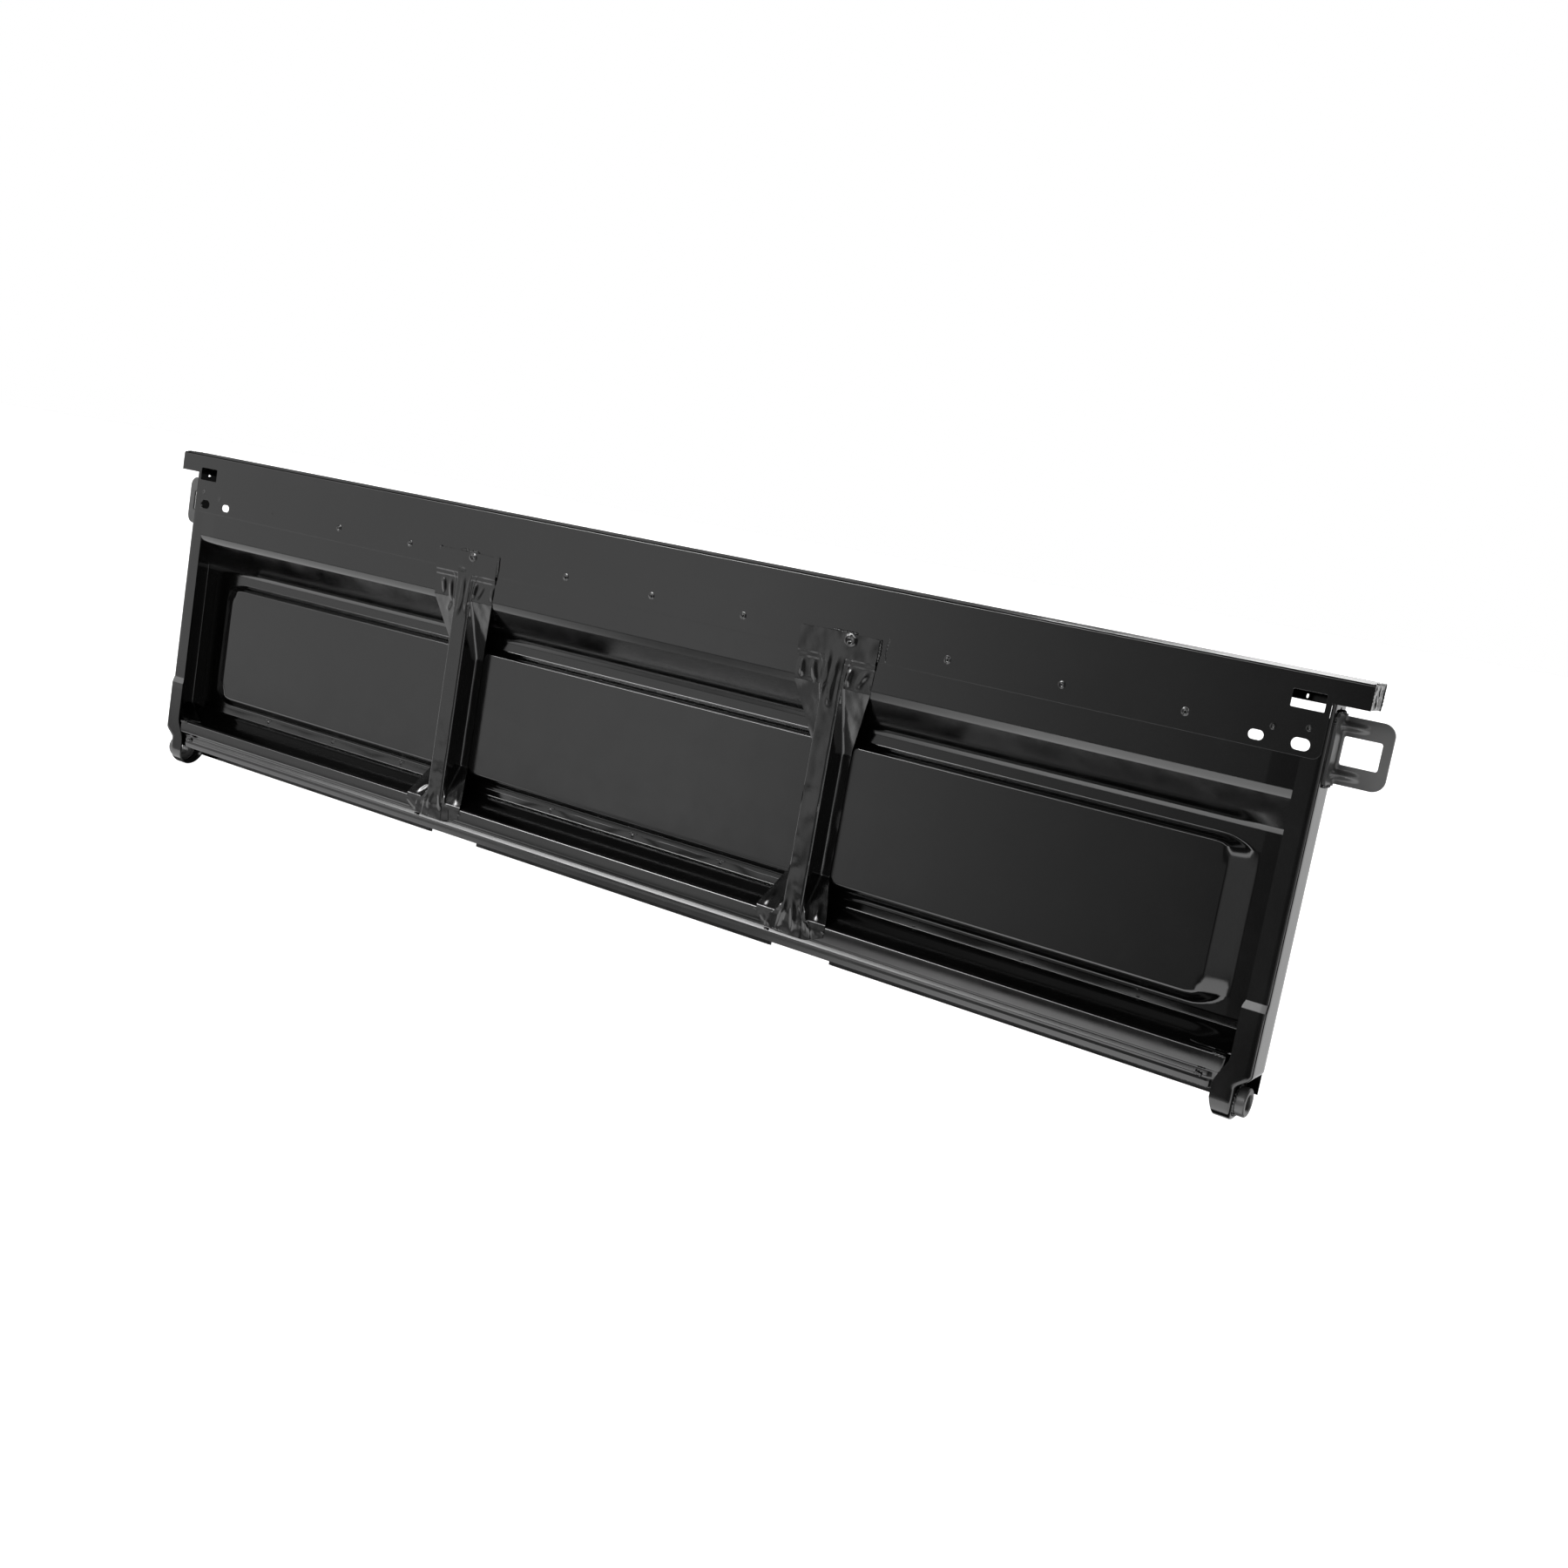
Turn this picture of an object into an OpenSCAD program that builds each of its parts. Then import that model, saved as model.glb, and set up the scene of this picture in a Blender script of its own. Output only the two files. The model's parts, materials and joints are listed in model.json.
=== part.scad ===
// Pickup tailgate shell, welded from pressed steel sheet.
// X runs along the gate, the inner side faces -Y, Z is up with the gate closed.
// The origin is at the bottom centre of the whole gate.

/* [Gate] */
// Length of the top rail from end to end
rail_length = 1650; // [1500:10:1800]
// Height from the bottom of the hinge ears to the top of the rail
gate_height = 433; // [428:1:440]
// Depth from the face of the inner band to the outer skin
gate_depth = 40; // [38:1:46]
// How far each end of the rail reaches past the end wall
rail_overhang = 31; // [20:1:40]

/* [Sheet] */
// Thickness of the top rail sheet
rail_t = 1.4; // [1:0.1:2]
// Thickness of the main panel sheet
panel_t = 1.2; // [0.8:0.1:1.6]
// Thickness of the bottom rail sheet
sill_t = 1.6; // [1.2:0.1:2]
// Thickness of the side channels and the braces
frame_t = 2; // [1.5:0.1:3]
// Thickness of the latch loops and the hinge plates
loop_t = 3; // [2:0.5:4]

/* [Top rail] */
// Height of the band on the inner side
band_height = 79; // [70:1:82]
// Height of the rear lip and of the overhanging ends
lip_height = 26; // [22:1:28]
// Width of the rectangular window at each end
window_w = 32; // [20:1:36]
// Height of the rectangular window
window_h = 16.6; // [10:0.2:17]
// Length of the outer slot at each end
outer_slot_l = 18; // [14:1:20]
// Width of the outer slot
outer_slot_w = 11.5; // [8:0.5:12]
// Length of the inner slot at each end
inner_slot_l = 15; // [12:1:18]
// Width of the inner slot
inner_slot_w = 9.5; // [8:0.5:12]

/* [Main panel] */
// Half the length of the raised field at its face
field_half = 718; // [600:1:725]
// Height of the field's lower edge above the origin
field_low = 105; // [100:1:130]
// Height of the field's upper edge above the origin
field_high = 258; // [220:1:258]
// How far the field stands up from the skin
field_rise = 12.8; // [6:0.1:14]
// Corner radius of the field's face
field_r = 16; // [8:1:30]

/* [Braces] */
// Distance of each brace from the middle of the gate
brace_x = 270; // [200:5:400]
// Width of the crown of each brace
crown_w = 28; // [20:1:40]
// Width of the plate at the top of each brace
plate_w = 106; // [80:1:120]

/* [Ends] */
// Width of the side channel's flanges
flange_w = 22; // [16:1:26]
// How far the lower end of each channel is set in for the hinge
hinge_inset = 14; // [8:1:18]
// Radius of the hinge bush bore
hinge_r = 8; // [6:0.5:9]
// Outer radius of the hinge bush
bush_r = 14.5; // [12:0.5:16]
// How far the latch loop stands out from the end wall
loop_reach = 50; // [40:1:60]
// Height of the opening in the latch loop
loop_gap_h = 27; // [20:1:32]
// Length of the opening in the latch loop
loop_gap_w = 36; // [28:1:40]

/* [Hidden] */

LEFT = -1;
RIGHT = 1;
COAT = [0.05, 0.05, 0.055];
WELD = [0.12, 0.12, 0.125];
ARC_STEPS = 6;
cut = 1;
fine = 48;

// The braces and their welds stand this far in front of the band
proud = 2;
// Depth position of the band's face, so that the whole gate is centred on Y
face_y = -(gate_depth - proud) / 2;

top_z = gate_height;
band_z = top_z - band_height;
over_z = top_z - lip_height;
half = rail_length / 2;
end_x = half - rail_overhang;
web_x = end_x - frame_t;
band_half = end_x - 3.6;
skin_y = gate_depth - panel_t;
field_y = skin_y - field_rise;

// Window and slots in the band
window_x = end_x - 41 + window_w / 2;
window_z = top_z - 27.2;
outer_slot_x = end_x - 24;
inner_slot_x = end_x - 66.3;
slot_z = top_z - 67.9;

// Upper strip, slope and lip of the main panel
strip_top = slot_z + 18;
slope_top = top_z - 115;
slope_low = top_z - 155;
slope_r = 14;
lip_z = 13;
foot_run = [25, 5.5, 10];
foot_r = 28;

// Bottom rail
sill_half = end_x - 27;
sill_back = skin_y - sill_t;
sill_flange_z = 90;
sill_rear_z = 81;
sill_front_z = 65;
sill_low_z = 30;
groove_top = 45;
groove_low = 32;
groove_d = 4;
groove_end = 10;
notch_half = 39;
notch_h = 6;

// Side channels
joggle_z = 117;
joggle_h = 8;
joggle_d = 3;
foot_y = rail_t - joggle_d;
foot_radius = (skin_y - foot_y) / 2;
foot_mid_y = (skin_y + foot_y) / 2;
rear_flange_z = 268;
flange_top = window_z - window_h / 2 - 4;
neck_z = 50;
neck_h = 16;

// Braces
plate_z = top_z - 54.5;
plate_low = top_z - 86;
pocket_low = top_z - 113;
flare_low = 248;
brace_back = rail_t;
foot_flare_z = 112;
foot_half = 50;
foot_low = 41;
brace_flange = 13;

// Latch loops
loop_y = 32.3;
loop_mid_z = top_z - 67.7;
loop_h = 64;
loop_base_y = 10;
loop_base_h = 68;
loop_r = 12;
rib_l = 21;
rib_r = 4;

// Spot welds
spot_pitch = 130;
spot_count = 5;
spot_z = top_z - 61;
spot_r = 3.5;
spot_h = 0.4;
bead_r = 2;

// ---- Functions for bent sheet ----

function unit(v) = v / norm(v);
function left_of(d) = [-d[1], d[0]];
function reversed(v) = [for (i = [len(v) - 1 : -1 : 0]) v[i]];
function turn_angle(a, b) = atan2(cross(a, b), a * b);
function rotated(v, a) = [v[0] * cos(a) - v[1] * sin(a), v[0] * sin(a) + v[1] * cos(a)];

// Points of the arc that rounds the corner b between a and c
function corner(a, b, c, r) =
    let (d1 = unit(b - a), d2 = unit(c - b), turn = turn_angle(d1, d2))
    r < 0.05 || abs(turn) < 1 ? [b] :
    let (start = b - d1 * r * tan(abs(turn) / 2), mid = start + left_of(d1) * r * sign(turn))
    [for (k = [0 : ARC_STEPS]) mid + rotated(start - mid, turn * k / ARC_STEPS)];

// A path with its inner corners rounded
function bent(p, r) = [for (i = [0 : len(p) - 1])
    each (i == 0 || i == len(p) - 1 ? [p[i]] : corner(p[i - 1], p[i], p[i + 1], r[i]))];

// A closed outline with all its corners rounded by one radius
function rounded(p, r) = let (n = len(p)) [for (i = [0 : n - 1])
    each corner(p[(i + n - 1) % n], p[i], p[(i + 1) % n], r)];

// The path moved to its left side by t
function moved(p, t) = [for (i = [0 : len(p) - 1])
    i == 0 ? p[0] + left_of(unit(p[1] - p[0])) * t :
    i == len(p) - 1 ? p[i] + left_of(unit(p[i] - p[i - 1])) * t :
    let (d1 = unit(p[i] - p[i - 1]), d2 = unit(p[i + 1] - p[i]))
    p[i] + (left_of(d1) + left_of(d2)) * t / (1 + d1 * d2)];

function moved_radii(p, r, t) = [for (i = [0 : len(p) - 1])
    i == 0 || i == len(p) - 1 || r[i] == 0 ? 0 :
    r[i] - t * sign(turn_angle(p[i] - p[i - 1], p[i + 1] - p[i]))];

// Outline of a sheet of thickness t that lies on the left of the path
function sheet(p, r, t) = concat(bent(p, r), reversed(bent(moved(p, t), moved_radii(p, r, t))));

function box_points(x0, z0, x1, z1) = [[x0, z0], [x1, z0], [x1, z1], [x0, z1]];

// ---- Helpers ----

// Puts a part drawn from the band's face into the gate's frame
module placed() translate([0, face_y, 0]) children();

// Right-hand shape, mirrored for the left end
module on_side(side) mirror([side < 0 ? 1 : 0, 0, 0]) children();

// A Y-Z outline swept along X, between x0 and x1
module swept(x0, x1) translate([x0, 0, 0]) rotate([90, 0, 90]) linear_extrude(height = x1 - x0) children();

// An X-Z outline given thickness from y0 to y1
module plate(y0, y1) translate([0, y1, 0]) rotate([90, 0, 0]) linear_extrude(height = y1 - y0) children();

// A slot with round ends, cut along Y
module slot_cut(x, l, w, y0, y1) {
    run = (l - w) / 2;
    translate([x, y1, slot_z]) {
        for (s = [-1, 1]) translate([s * run, 0, 0]) rotate([90, 0, 0]) cylinder(h = y1 - y0, d = w, $fn = fine);
        translate([-run, y0 - y1, -w / 2]) cube([2 * run, y1 - y0, w]);
    }
}

// Both slots of one end, each grown by g
module slots(g, y0, y1) {
    slot_cut(outer_slot_x, outer_slot_l + g, outer_slot_w + g, y0, y1);
    slot_cut(inner_slot_x, inner_slot_l + g, inner_slot_w + g, y0, y1);
}

// Quarter-round weld bead of length l along Z, in the corner between -X and +Y faces
module bead(l, r) linear_extrude(height = l) intersection() {
    circle(r = r, $fn = fine);
    square(r);
}

// ---- Top rail ----

rail_path = [[gate_depth, over_z], [gate_depth, top_z], [0, top_z], [0, band_z]];
rail_radii = [0, 3, 3, 0];

module top_rail() color(COAT) placed() difference() {
    swept(-half, half) polygon(sheet(rail_path, rail_radii, rail_t));
    for (side = [LEFT, RIGHT]) on_side(side) {
        translate([band_half, -cut, band_z - cut]) cube([half, rail_t + 2 * cut, band_height - lip_height + cut]);
        plate(-cut, rail_t + cut) difference() {
            translate([band_half - 8, band_z - cut]) square([9, 8 + cut]);
            translate([band_half - 8, band_z + 8]) circle(r = 8, $fn = fine);
        }
        translate([window_x - window_w / 2, -cut, window_z - window_h / 2])
            cube([window_w, rail_t + 2 * cut, window_h]);
        slots(0, -cut, rail_t + cut);
    }
}

module rail_end_cap(side) color(COAT) placed() on_side(side)
    translate([half - rail_t, rail_t, over_z]) cube([rail_t, gate_depth - 2 * rail_t, lip_height - rail_t]);

module rail_end_welds() color(WELD) placed() for (side = [LEFT, RIGHT]) on_side(side)
    for (y = [bead_r, gate_depth - bead_r]) translate([half, y, over_z + 2]) intersection() {
        cylinder(h = lip_height - 6, r = bead_r, $fn = fine);
        translate([0, -bead_r, 0]) cube([bead_r, 2 * bead_r, lip_height]);
    }

// ---- Main panel ----

panel_path = [[rail_t, strip_top], [rail_t, slope_top], [skin_y, slope_low], [skin_y, lip_z]];
panel_radii = [0, slope_r, slope_r - 2, 0];

// Solid of the raised field, made smaller all round by g, from depth y0 back to y1
module field_solid(g, y0, y1) hull() {
    plate(y0, y0 + 0.1)
        polygon(rounded(box_points(-field_half + g, field_low + g, field_half - g, field_high - g), field_r - g));
    plate(y1 - 0.1, y1) polygon(rounded(box_points(
        -field_half - foot_run[0] + g, field_low - foot_run[2] + g,
        field_half + foot_run[0] - g, field_high + foot_run[1] - g), foot_r - g));
}

module main_panel() color(COAT) placed() difference() {
    union() {
        difference() {
            swept(-web_x + 0.1, web_x - 0.1) polygon(sheet(panel_path, panel_radii, panel_t));
            for (side = [LEFT, RIGHT]) on_side(side) {
                translate([end_x - flange_w - 0.1, 0, slope_top - 9]) cube([flange_w, 12, top_z]);
                slots(3, 0, 4);
                plate(foot_y, gate_depth + cut) polygon([
                    [end_x - flange_w - 0.1, lip_z - cut], [end_x, lip_z - cut], [end_x, foot_radius],
                    [end_x - flange_w - 0.1, foot_radius]]);
                translate([brace_x - 4 - notch_half, skin_y - cut, lip_z - cut])
                    cube([2 * notch_half, panel_t + 2 * cut, notch_h + cut]);
            }
        }
        field_solid(0, field_y, gate_depth);
    }
    field_solid(panel_t, field_y + panel_t, gate_depth + 0.2);
}

// ---- Bottom rail ----

sill_path = [[sill_back, sill_flange_z], [sill_back, sill_rear_z], [0, sill_front_z],
    [0, sill_low_z], [sill_back, sill_low_z], [sill_back, lip_z]];
sill_radii = [0, 4, 3, 3, 3, 0];
grooved_path = [[sill_back, sill_flange_z], [sill_back, sill_rear_z], [0, sill_front_z],
    [0, groove_top], [groove_d, groove_top - 4], [groove_d, groove_low + 3], [0.5, groove_low],
    [0.5, sill_low_z - 1], [sill_back, sill_low_z - 1], [sill_back, lip_z]];
grooved_radii = [0, 4, 3, 2, 2, 2, 0, 0, 3, 0];
groove_half = sill_half - groove_end;

module bottom_rail() color(COAT) placed() difference() {
    union() {
        swept(-groove_half, groove_half) polygon(sheet(grooved_path, grooved_radii, sill_t));
        for (side = [LEFT, RIGHT]) on_side(side) {
            swept(groove_half, sill_half) polygon(sheet(sill_path, sill_radii, sill_t));
            swept(groove_half - sill_t, groove_half) polygon([[0, sill_low_z - 1], [groove_d + sill_t, groove_low],
                [groove_d + sill_t, groove_top - 2], [0, groove_top]]);
        }
    }
    for (side = [LEFT, RIGHT]) on_side(side)
        translate([brace_x - 4 - notch_half, sill_back - cut, lip_z - cut])
            cube([2 * notch_half, sill_t + 2 * cut, notch_h + cut]);
}

// ---- Side channels ----

channel_top = over_z - 1;
channel_path = [[rail_t, channel_top], [rail_t, joggle_z + joggle_h / 2], [foot_y, joggle_z - joggle_h / 2],
    [foot_y, 0], [skin_y, 0], [skin_y, channel_top]];
channel_radii = [0, 4, 4, foot_radius - 0.01, foot_radius - 0.01, 0];
ear_x = end_x - hinge_inset;

module hinge_hole(x0, r) translate([x0, foot_mid_y, foot_radius]) rotate([0, 90, 0]) cylinder(h = 40, r = r, $fn = fine);

// Front, bottom and rear flanges follow the same bent strip
module channel_flanges() difference() {
    intersection() {
        swept(end_x - 60, end_x + cut) polygon(sheet(channel_path, channel_radii, frame_t));
        plate(foot_y - cut, skin_y + cut) polygon([
            [end_x - flange_w, channel_top], [end_x - flange_w, joggle_z], [end_x - flange_w - 2, joggle_z - 6],
            [end_x - flange_w - 2, sill_front_z], [ear_x - flange_w, neck_z - neck_h], [ear_x - flange_w, 0],
            [ear_x, 0], [ear_x, neck_z - neck_h], [end_x, neck_z], [end_x, channel_top]]);
    }
    translate([end_x - 60, gate_depth / 2, rear_flange_z]) cube([60 - frame_t, gate_depth, top_z]);
    translate([end_x - 60, gate_depth / 2, foot_radius]) cube([60 - flange_w, gate_depth, top_z]);
    translate([end_x - 60, 0, flange_top]) cube([60 - frame_t, gate_depth, top_z]);
}

module channel_web() intersection() {
    swept(end_x - 60, end_x + cut) polygon(bent(channel_path, channel_radii));
    plate(foot_y - cut, skin_y + cut) polygon(reversed(sheet(
        [[ear_x, 0], [ear_x, neck_z - neck_h], [end_x, neck_z], [end_x, channel_top]], [0, 5, 5, 0], frame_t)));
}

module side_channel(side) color(COAT) placed() on_side(side) difference() {
    union() {
        channel_flanges();
        channel_web();
    }
    slots(3, 0, 6);
    hinge_hole(ear_x - 20, bush_r + 0.1);
}

module hinge_plate(side) color(COAT) placed() on_side(side) difference() {
    swept(ear_x - frame_t - loop_t, ear_x - frame_t) union() {
        translate([foot_mid_y, foot_radius]) circle(r = foot_radius - frame_t - 0.3, $fn = fine);
        translate([foot_mid_y - foot_radius + frame_t + 0.3, foot_radius])
            square([2 * (foot_radius - frame_t - 0.3), 8]);
    }
    hinge_hole(ear_x - 20, bush_r + 0.1);
}

module hinge_bush(side) color(COAT) placed() on_side(side) difference() {
    x0 = ear_x - frame_t - loop_t;
    translate([x0, foot_mid_y, foot_radius]) rotate([0, 90, 0]) cylinder(h = end_x - 3 - x0, r = bush_r, $fn = fine);
    hinge_hole(x0 - cut, hinge_r);
}

module bush_weld(side) color(WELD) placed() on_side(side)
    translate([ear_x, foot_mid_y, foot_radius]) rotate([0, 90, 0])
        rotate_extrude($fn = fine) translate([bush_r, 0]) intersection() {
            circle(r = bead_r, $fn = fine);
            square(bead_r);
        }

module corner_gusset(side) color(COAT) placed() on_side(side) intersection() {
    swept(end_x - 80, web_x - 0.1) polygon(sheet(
        [[2, sill_front_z + 1], [sill_back - 1.5, sill_rear_z + 0.1]], [0, 0], sill_t));
    translate([0, 0, sill_low_z]) linear_extrude(height = 80)
        polygon([[web_x - 0.1, sill_back - 2], [web_x - 0.1, 1], [web_x - 64, 1]]);
}

// ---- Braces ----

// Sheet that lies on the panel: pocket, leaning flares, flanges on the field, lower flares
brace_back_path = [[brace_back - frame_t - 1, plate_low], [brace_back - frame_t, plate_low - 4],
    [brace_back - frame_t, pocket_low], [field_y - frame_t, flare_low],
    [field_y - frame_t, foot_flare_z], [-frame_t, sill_front_z + 1]];
brace_back_radii = [0, 1, 6, 6, 6, 0];
flange_half = crown_w / 2 + brace_flange;

module brace_outline() polygon([
    [-plate_w / 2, plate_low], [-plate_w / 2, pocket_low], [-flange_half, flare_low],
    [-flange_half, foot_flare_z], [-foot_half, sill_front_z], [foot_half, sill_front_z],
    [flange_half, foot_flare_z], [flange_half, flare_low], [plate_w / 2, pocket_low],
    [plate_w / 2, plate_low]]);

module brace_front() polygon([
    [-plate_w / 2, plate_z], [-plate_w / 2, plate_low], [-crown_w / 2 - 8, plate_low],
    [-crown_w / 2, plate_low - 8], [-crown_w / 2, sill_front_z + 8], [-crown_w / 2 - 8, sill_front_z],
    [-foot_half, sill_front_z], [-foot_half + 4, sill_front_z - 12], [-crown_w / 2 - 6, foot_low],
    [crown_w / 2 + 6, foot_low], [foot_half - 4, sill_front_z - 12], [foot_half, sill_front_z],
    [crown_w / 2 + 8, sill_front_z], [crown_w / 2, sill_front_z + 8], [crown_w / 2, plate_low - 8],
    [crown_w / 2 + 8, plate_low], [plate_w / 2, plate_low], [plate_w / 2, plate_z]]);

module brace(side) color(COAT) placed() on_side(side) translate([brace_x, 0, 0]) {
    plate(-frame_t, 0) brace_front();
    difference() {
        intersection() {
            swept(-plate_w, plate_w) polygon(sheet(brace_back_path, brace_back_radii, frame_t));
            plate(-frame_t - 1, gate_depth) brace_outline();
        }
        translate([-crown_w / 2 + frame_t, 0, foot_low]) cube([crown_w - 2 * frame_t, gate_depth, top_z]);
    }
    for (s = [-1, 1]) swept(s * (crown_w - frame_t) / 2 - frame_t / 2, s * (crown_w - frame_t) / 2 + frame_t / 2)
        polygon([[-0.5, plate_low], [rail_t - 0.1, plate_low], [rail_t - 0.1, pocket_low],
            [field_y - 0.1, flare_low], [field_y - 0.1, foot_flare_z], [-0.5, sill_front_z + 1]]);
}

module brace_welds(side) color(WELD) placed() on_side(side) translate([brace_x, 0, 0]) {
    translate([-10, 0, plate_z]) rotate([0, 90, 0]) rotate([0, 0, 180]) bead(34, bead_r);
    translate([plate_w / 2, 0, plate_low + 4]) rotate([0, 0, -90]) bead(22, bead_r);
    translate([-18, 0, foot_low]) mirror([0, 0, 1]) rotate([0, 90, 0]) rotate([0, 0, 180]) bead(36, bead_r);
}

// ---- Latch loops ----

module loop_outline() difference() {
    translate([end_x, loop_mid_z - loop_h / 2]) difference() {
        square([loop_reach, loop_h]);
        for (s = [0, 1]) translate([loop_reach - loop_r, s * (loop_h - loop_r)]) difference() {
            square([loop_r, loop_r]);
            translate([0, (1 - s) * loop_r]) circle(r = loop_r, $fn = fine);
        }
    }
    translate([end_x + 5, loop_mid_z - loop_gap_h / 2]) square([loop_gap_w, loop_gap_h]);
}

module latch_loop(side) color(COAT) placed() on_side(side) {
    arm_z = (loop_h + loop_gap_h) / 4;
    plate(loop_y, loop_y + loop_t) loop_outline();
    translate([end_x, loop_base_y, loop_mid_z - loop_base_h / 2])
        cube([loop_t, loop_y + loop_t - loop_base_y, loop_base_h]);
    for (s = [-1, 1]) translate([end_x + loop_t, loop_y, loop_mid_z + s * arm_z]) intersection() {
        rotate([0, 90, 0]) cylinder(h = rib_l, r = rib_r, $fn = fine);
        translate([0, -2 * rib_r, -rib_r]) cube([rib_l, 2 * rib_r, 2 * rib_r]);
    }
}

module loop_welds(side) color(WELD) placed() on_side(side) for (s = [-1, 1])
    translate([end_x, loop_base_y + 2, loop_mid_z + s * loop_base_h / 2])
        intersection() {
            rotate([-90, 0, 0]) cylinder(h = 20, r = loop_t, $fn = fine);
            translate([0, 0, s > 0 ? 0 : -loop_t]) cube([loop_t, 20, loop_t]);
        }

// ---- Spot welds ----

// Low round nugget standing towards -Y
module nugget(x, y, z) translate([x, y, z]) rotate([90, 0, 0]) cylinder(h = spot_h, r = spot_r, $fn = 24);

module band_spot_welds() color(WELD) placed() {
    for (i = [-spot_count : spot_count]) if (abs(i) != 2) nugget(i * spot_pitch, 0, spot_z);
    for (side = [LEFT, RIGHT]) {
        nugget(side * (outer_slot_x - 28), 0, spot_z + 4);
        nugget(side * (outer_slot_x + 5), 0, spot_z + 9);
    }
}

module flange_spot_welds() color(WELD) placed()
    for (i = [-spot_count : spot_count]) if (abs(i) != 2) nugget(i * spot_pitch, sill_back, sill_flange_z - 4.5);

top_rail();
rail_end_cap(LEFT);  // left_rail_end_cap
rail_end_cap(RIGHT);  // right_rail_end_cap
main_panel();
bottom_rail();
side_channel(LEFT);  // left_side_channel
side_channel(RIGHT);  // right_side_channel
brace(LEFT);  // left_brace
brace(RIGHT);  // right_brace
latch_loop(LEFT);  // left_latch_loop
latch_loop(RIGHT);  // right_latch_loop
hinge_plate(LEFT);  // left_hinge_plate
hinge_plate(RIGHT);  // right_hinge_plate
hinge_bush(LEFT);  // left_hinge_bush
hinge_bush(RIGHT);  // right_hinge_bush
corner_gusset(LEFT);  // left_corner_gusset
corner_gusset(RIGHT);  // right_corner_gusset
band_spot_welds();
flange_spot_welds();
loop_welds(LEFT);  // left_loop_welds
loop_welds(RIGHT);  // right_loop_welds
brace_welds(LEFT);  // left_brace_welds
brace_welds(RIGHT);  // right_brace_welds
rail_end_welds();
bush_weld(LEFT);  // left_bush_weld
bush_weld(RIGHT);  // right_bush_weld
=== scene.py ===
"""Pickup tailgate shell: pressed and welded black sheet metal, seen from its inner side.

Lengths are in millimetres in the gate's own frame. x runs along the gate, z is height,
and d is the depth behind the face of the inner band.
"""
import json
import math
import random

import bmesh
import bpy
from mathutils import Matrix, Vector, noise


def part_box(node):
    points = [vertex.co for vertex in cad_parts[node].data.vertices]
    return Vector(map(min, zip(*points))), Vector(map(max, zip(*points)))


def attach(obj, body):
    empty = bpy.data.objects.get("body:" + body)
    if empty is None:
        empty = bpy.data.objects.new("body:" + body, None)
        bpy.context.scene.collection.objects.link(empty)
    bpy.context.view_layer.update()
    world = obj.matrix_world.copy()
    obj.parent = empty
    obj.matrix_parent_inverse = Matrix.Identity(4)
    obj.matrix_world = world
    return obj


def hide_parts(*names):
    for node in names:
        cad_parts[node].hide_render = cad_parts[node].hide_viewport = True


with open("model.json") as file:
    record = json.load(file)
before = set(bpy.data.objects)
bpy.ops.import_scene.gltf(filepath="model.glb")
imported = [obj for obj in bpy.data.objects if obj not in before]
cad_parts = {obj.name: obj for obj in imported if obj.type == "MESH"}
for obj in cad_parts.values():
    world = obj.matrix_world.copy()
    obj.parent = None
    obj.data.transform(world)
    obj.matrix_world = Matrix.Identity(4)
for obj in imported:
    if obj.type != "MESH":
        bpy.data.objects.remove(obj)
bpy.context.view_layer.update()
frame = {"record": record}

MM = 0.001
LEFT, RIGHT = -1, 1
SIDE_NAME = {LEFT: "left", RIGHT: "right"}


def node_box(name):
    """Lower and upper corner of a CAD node's box, in millimetres"""
    lo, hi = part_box(name)
    return lo / MM, hi / MM


# ---- Places, read from the CAD nodes ----
# X and HALF are places along the gate, from its middle. Z, TOP, LOW and MID are heights.
# SKIN, DEPTH, FACE, FRONT, BACK and D are depths d; only FACE by itself is a y value.

rail_lo, rail_hi = node_box("top_rail")
FACE = rail_lo.y
TOP = rail_hi.z
HALF = rail_hi.x
BAND_Z = rail_lo.z
DEPTH = rail_hi.y - FACE

channel_lo, channel_hi = node_box("right_side_channel")
END_X = channel_hi.x
CHANNEL_TOP = channel_hi.z
SKIN = channel_hi.y - FACE
FOOT_FACE = channel_lo.y - FACE
FOOT_R = (SKIN - FOOT_FACE) / 2
FOOT_D = (SKIN + FOOT_FACE) / 2

panel_lo, panel_hi = node_box("main_panel")
PANEL_X = panel_hi.x
PANEL_FACE = panel_lo.y - FACE
STRIP_TOP = panel_hi.z
LIP_Z = panel_lo.z

sill_hi = node_box("bottom_rail")[1]
SILL_X = sill_hi.x
SILL_TOP = sill_hi.z

brace_lo, brace_hi = node_box("right_brace")
BRACE_X = (brace_lo.x + brace_hi.x) / 2
PLATE_TOP = brace_hi.z
BRACE_LOW = brace_lo.z
BRACE_FACE = brace_lo.y - FACE

loop_lo, loop_hi = node_box("right_latch_loop")
LOOP_MID = (loop_lo.z + loop_hi.z) / 2
LOOP_BASE = (loop_hi.z - loop_lo.z) / 2
LOOP_FRONT = loop_lo.y - FACE
LOOP_BACK = loop_hi.y - FACE

bush_lo, bush_hi = node_box("right_hinge_bush")
BUSH_R = (bush_hi.z - bush_lo.z) / 2
BUSH_Z = (bush_hi.z + bush_lo.z) / 2

# ---- Sizes that the boxes don't give ----

# Sheet thickness of the rail, panel, bottom rail, side channels, latch loops and braces
RAIL_T, PANEL_T, SILL_T, FRAME_T, LOOP_T, BRACE_T = 1.4, 1.2, 1.6, 2.0, 3.0, 1.1

# Top rail: height of the cap that overhangs the end walls, lower edge and lean of the back lip,
# fall of the top towards the band, and the band's half length below the cap
LIP_H = 26
LIP_LOW = 403.5
LIP_LEAN = 3
TOP_FALL = 1.9
BAND_HALF = END_X - 3.6
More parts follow.
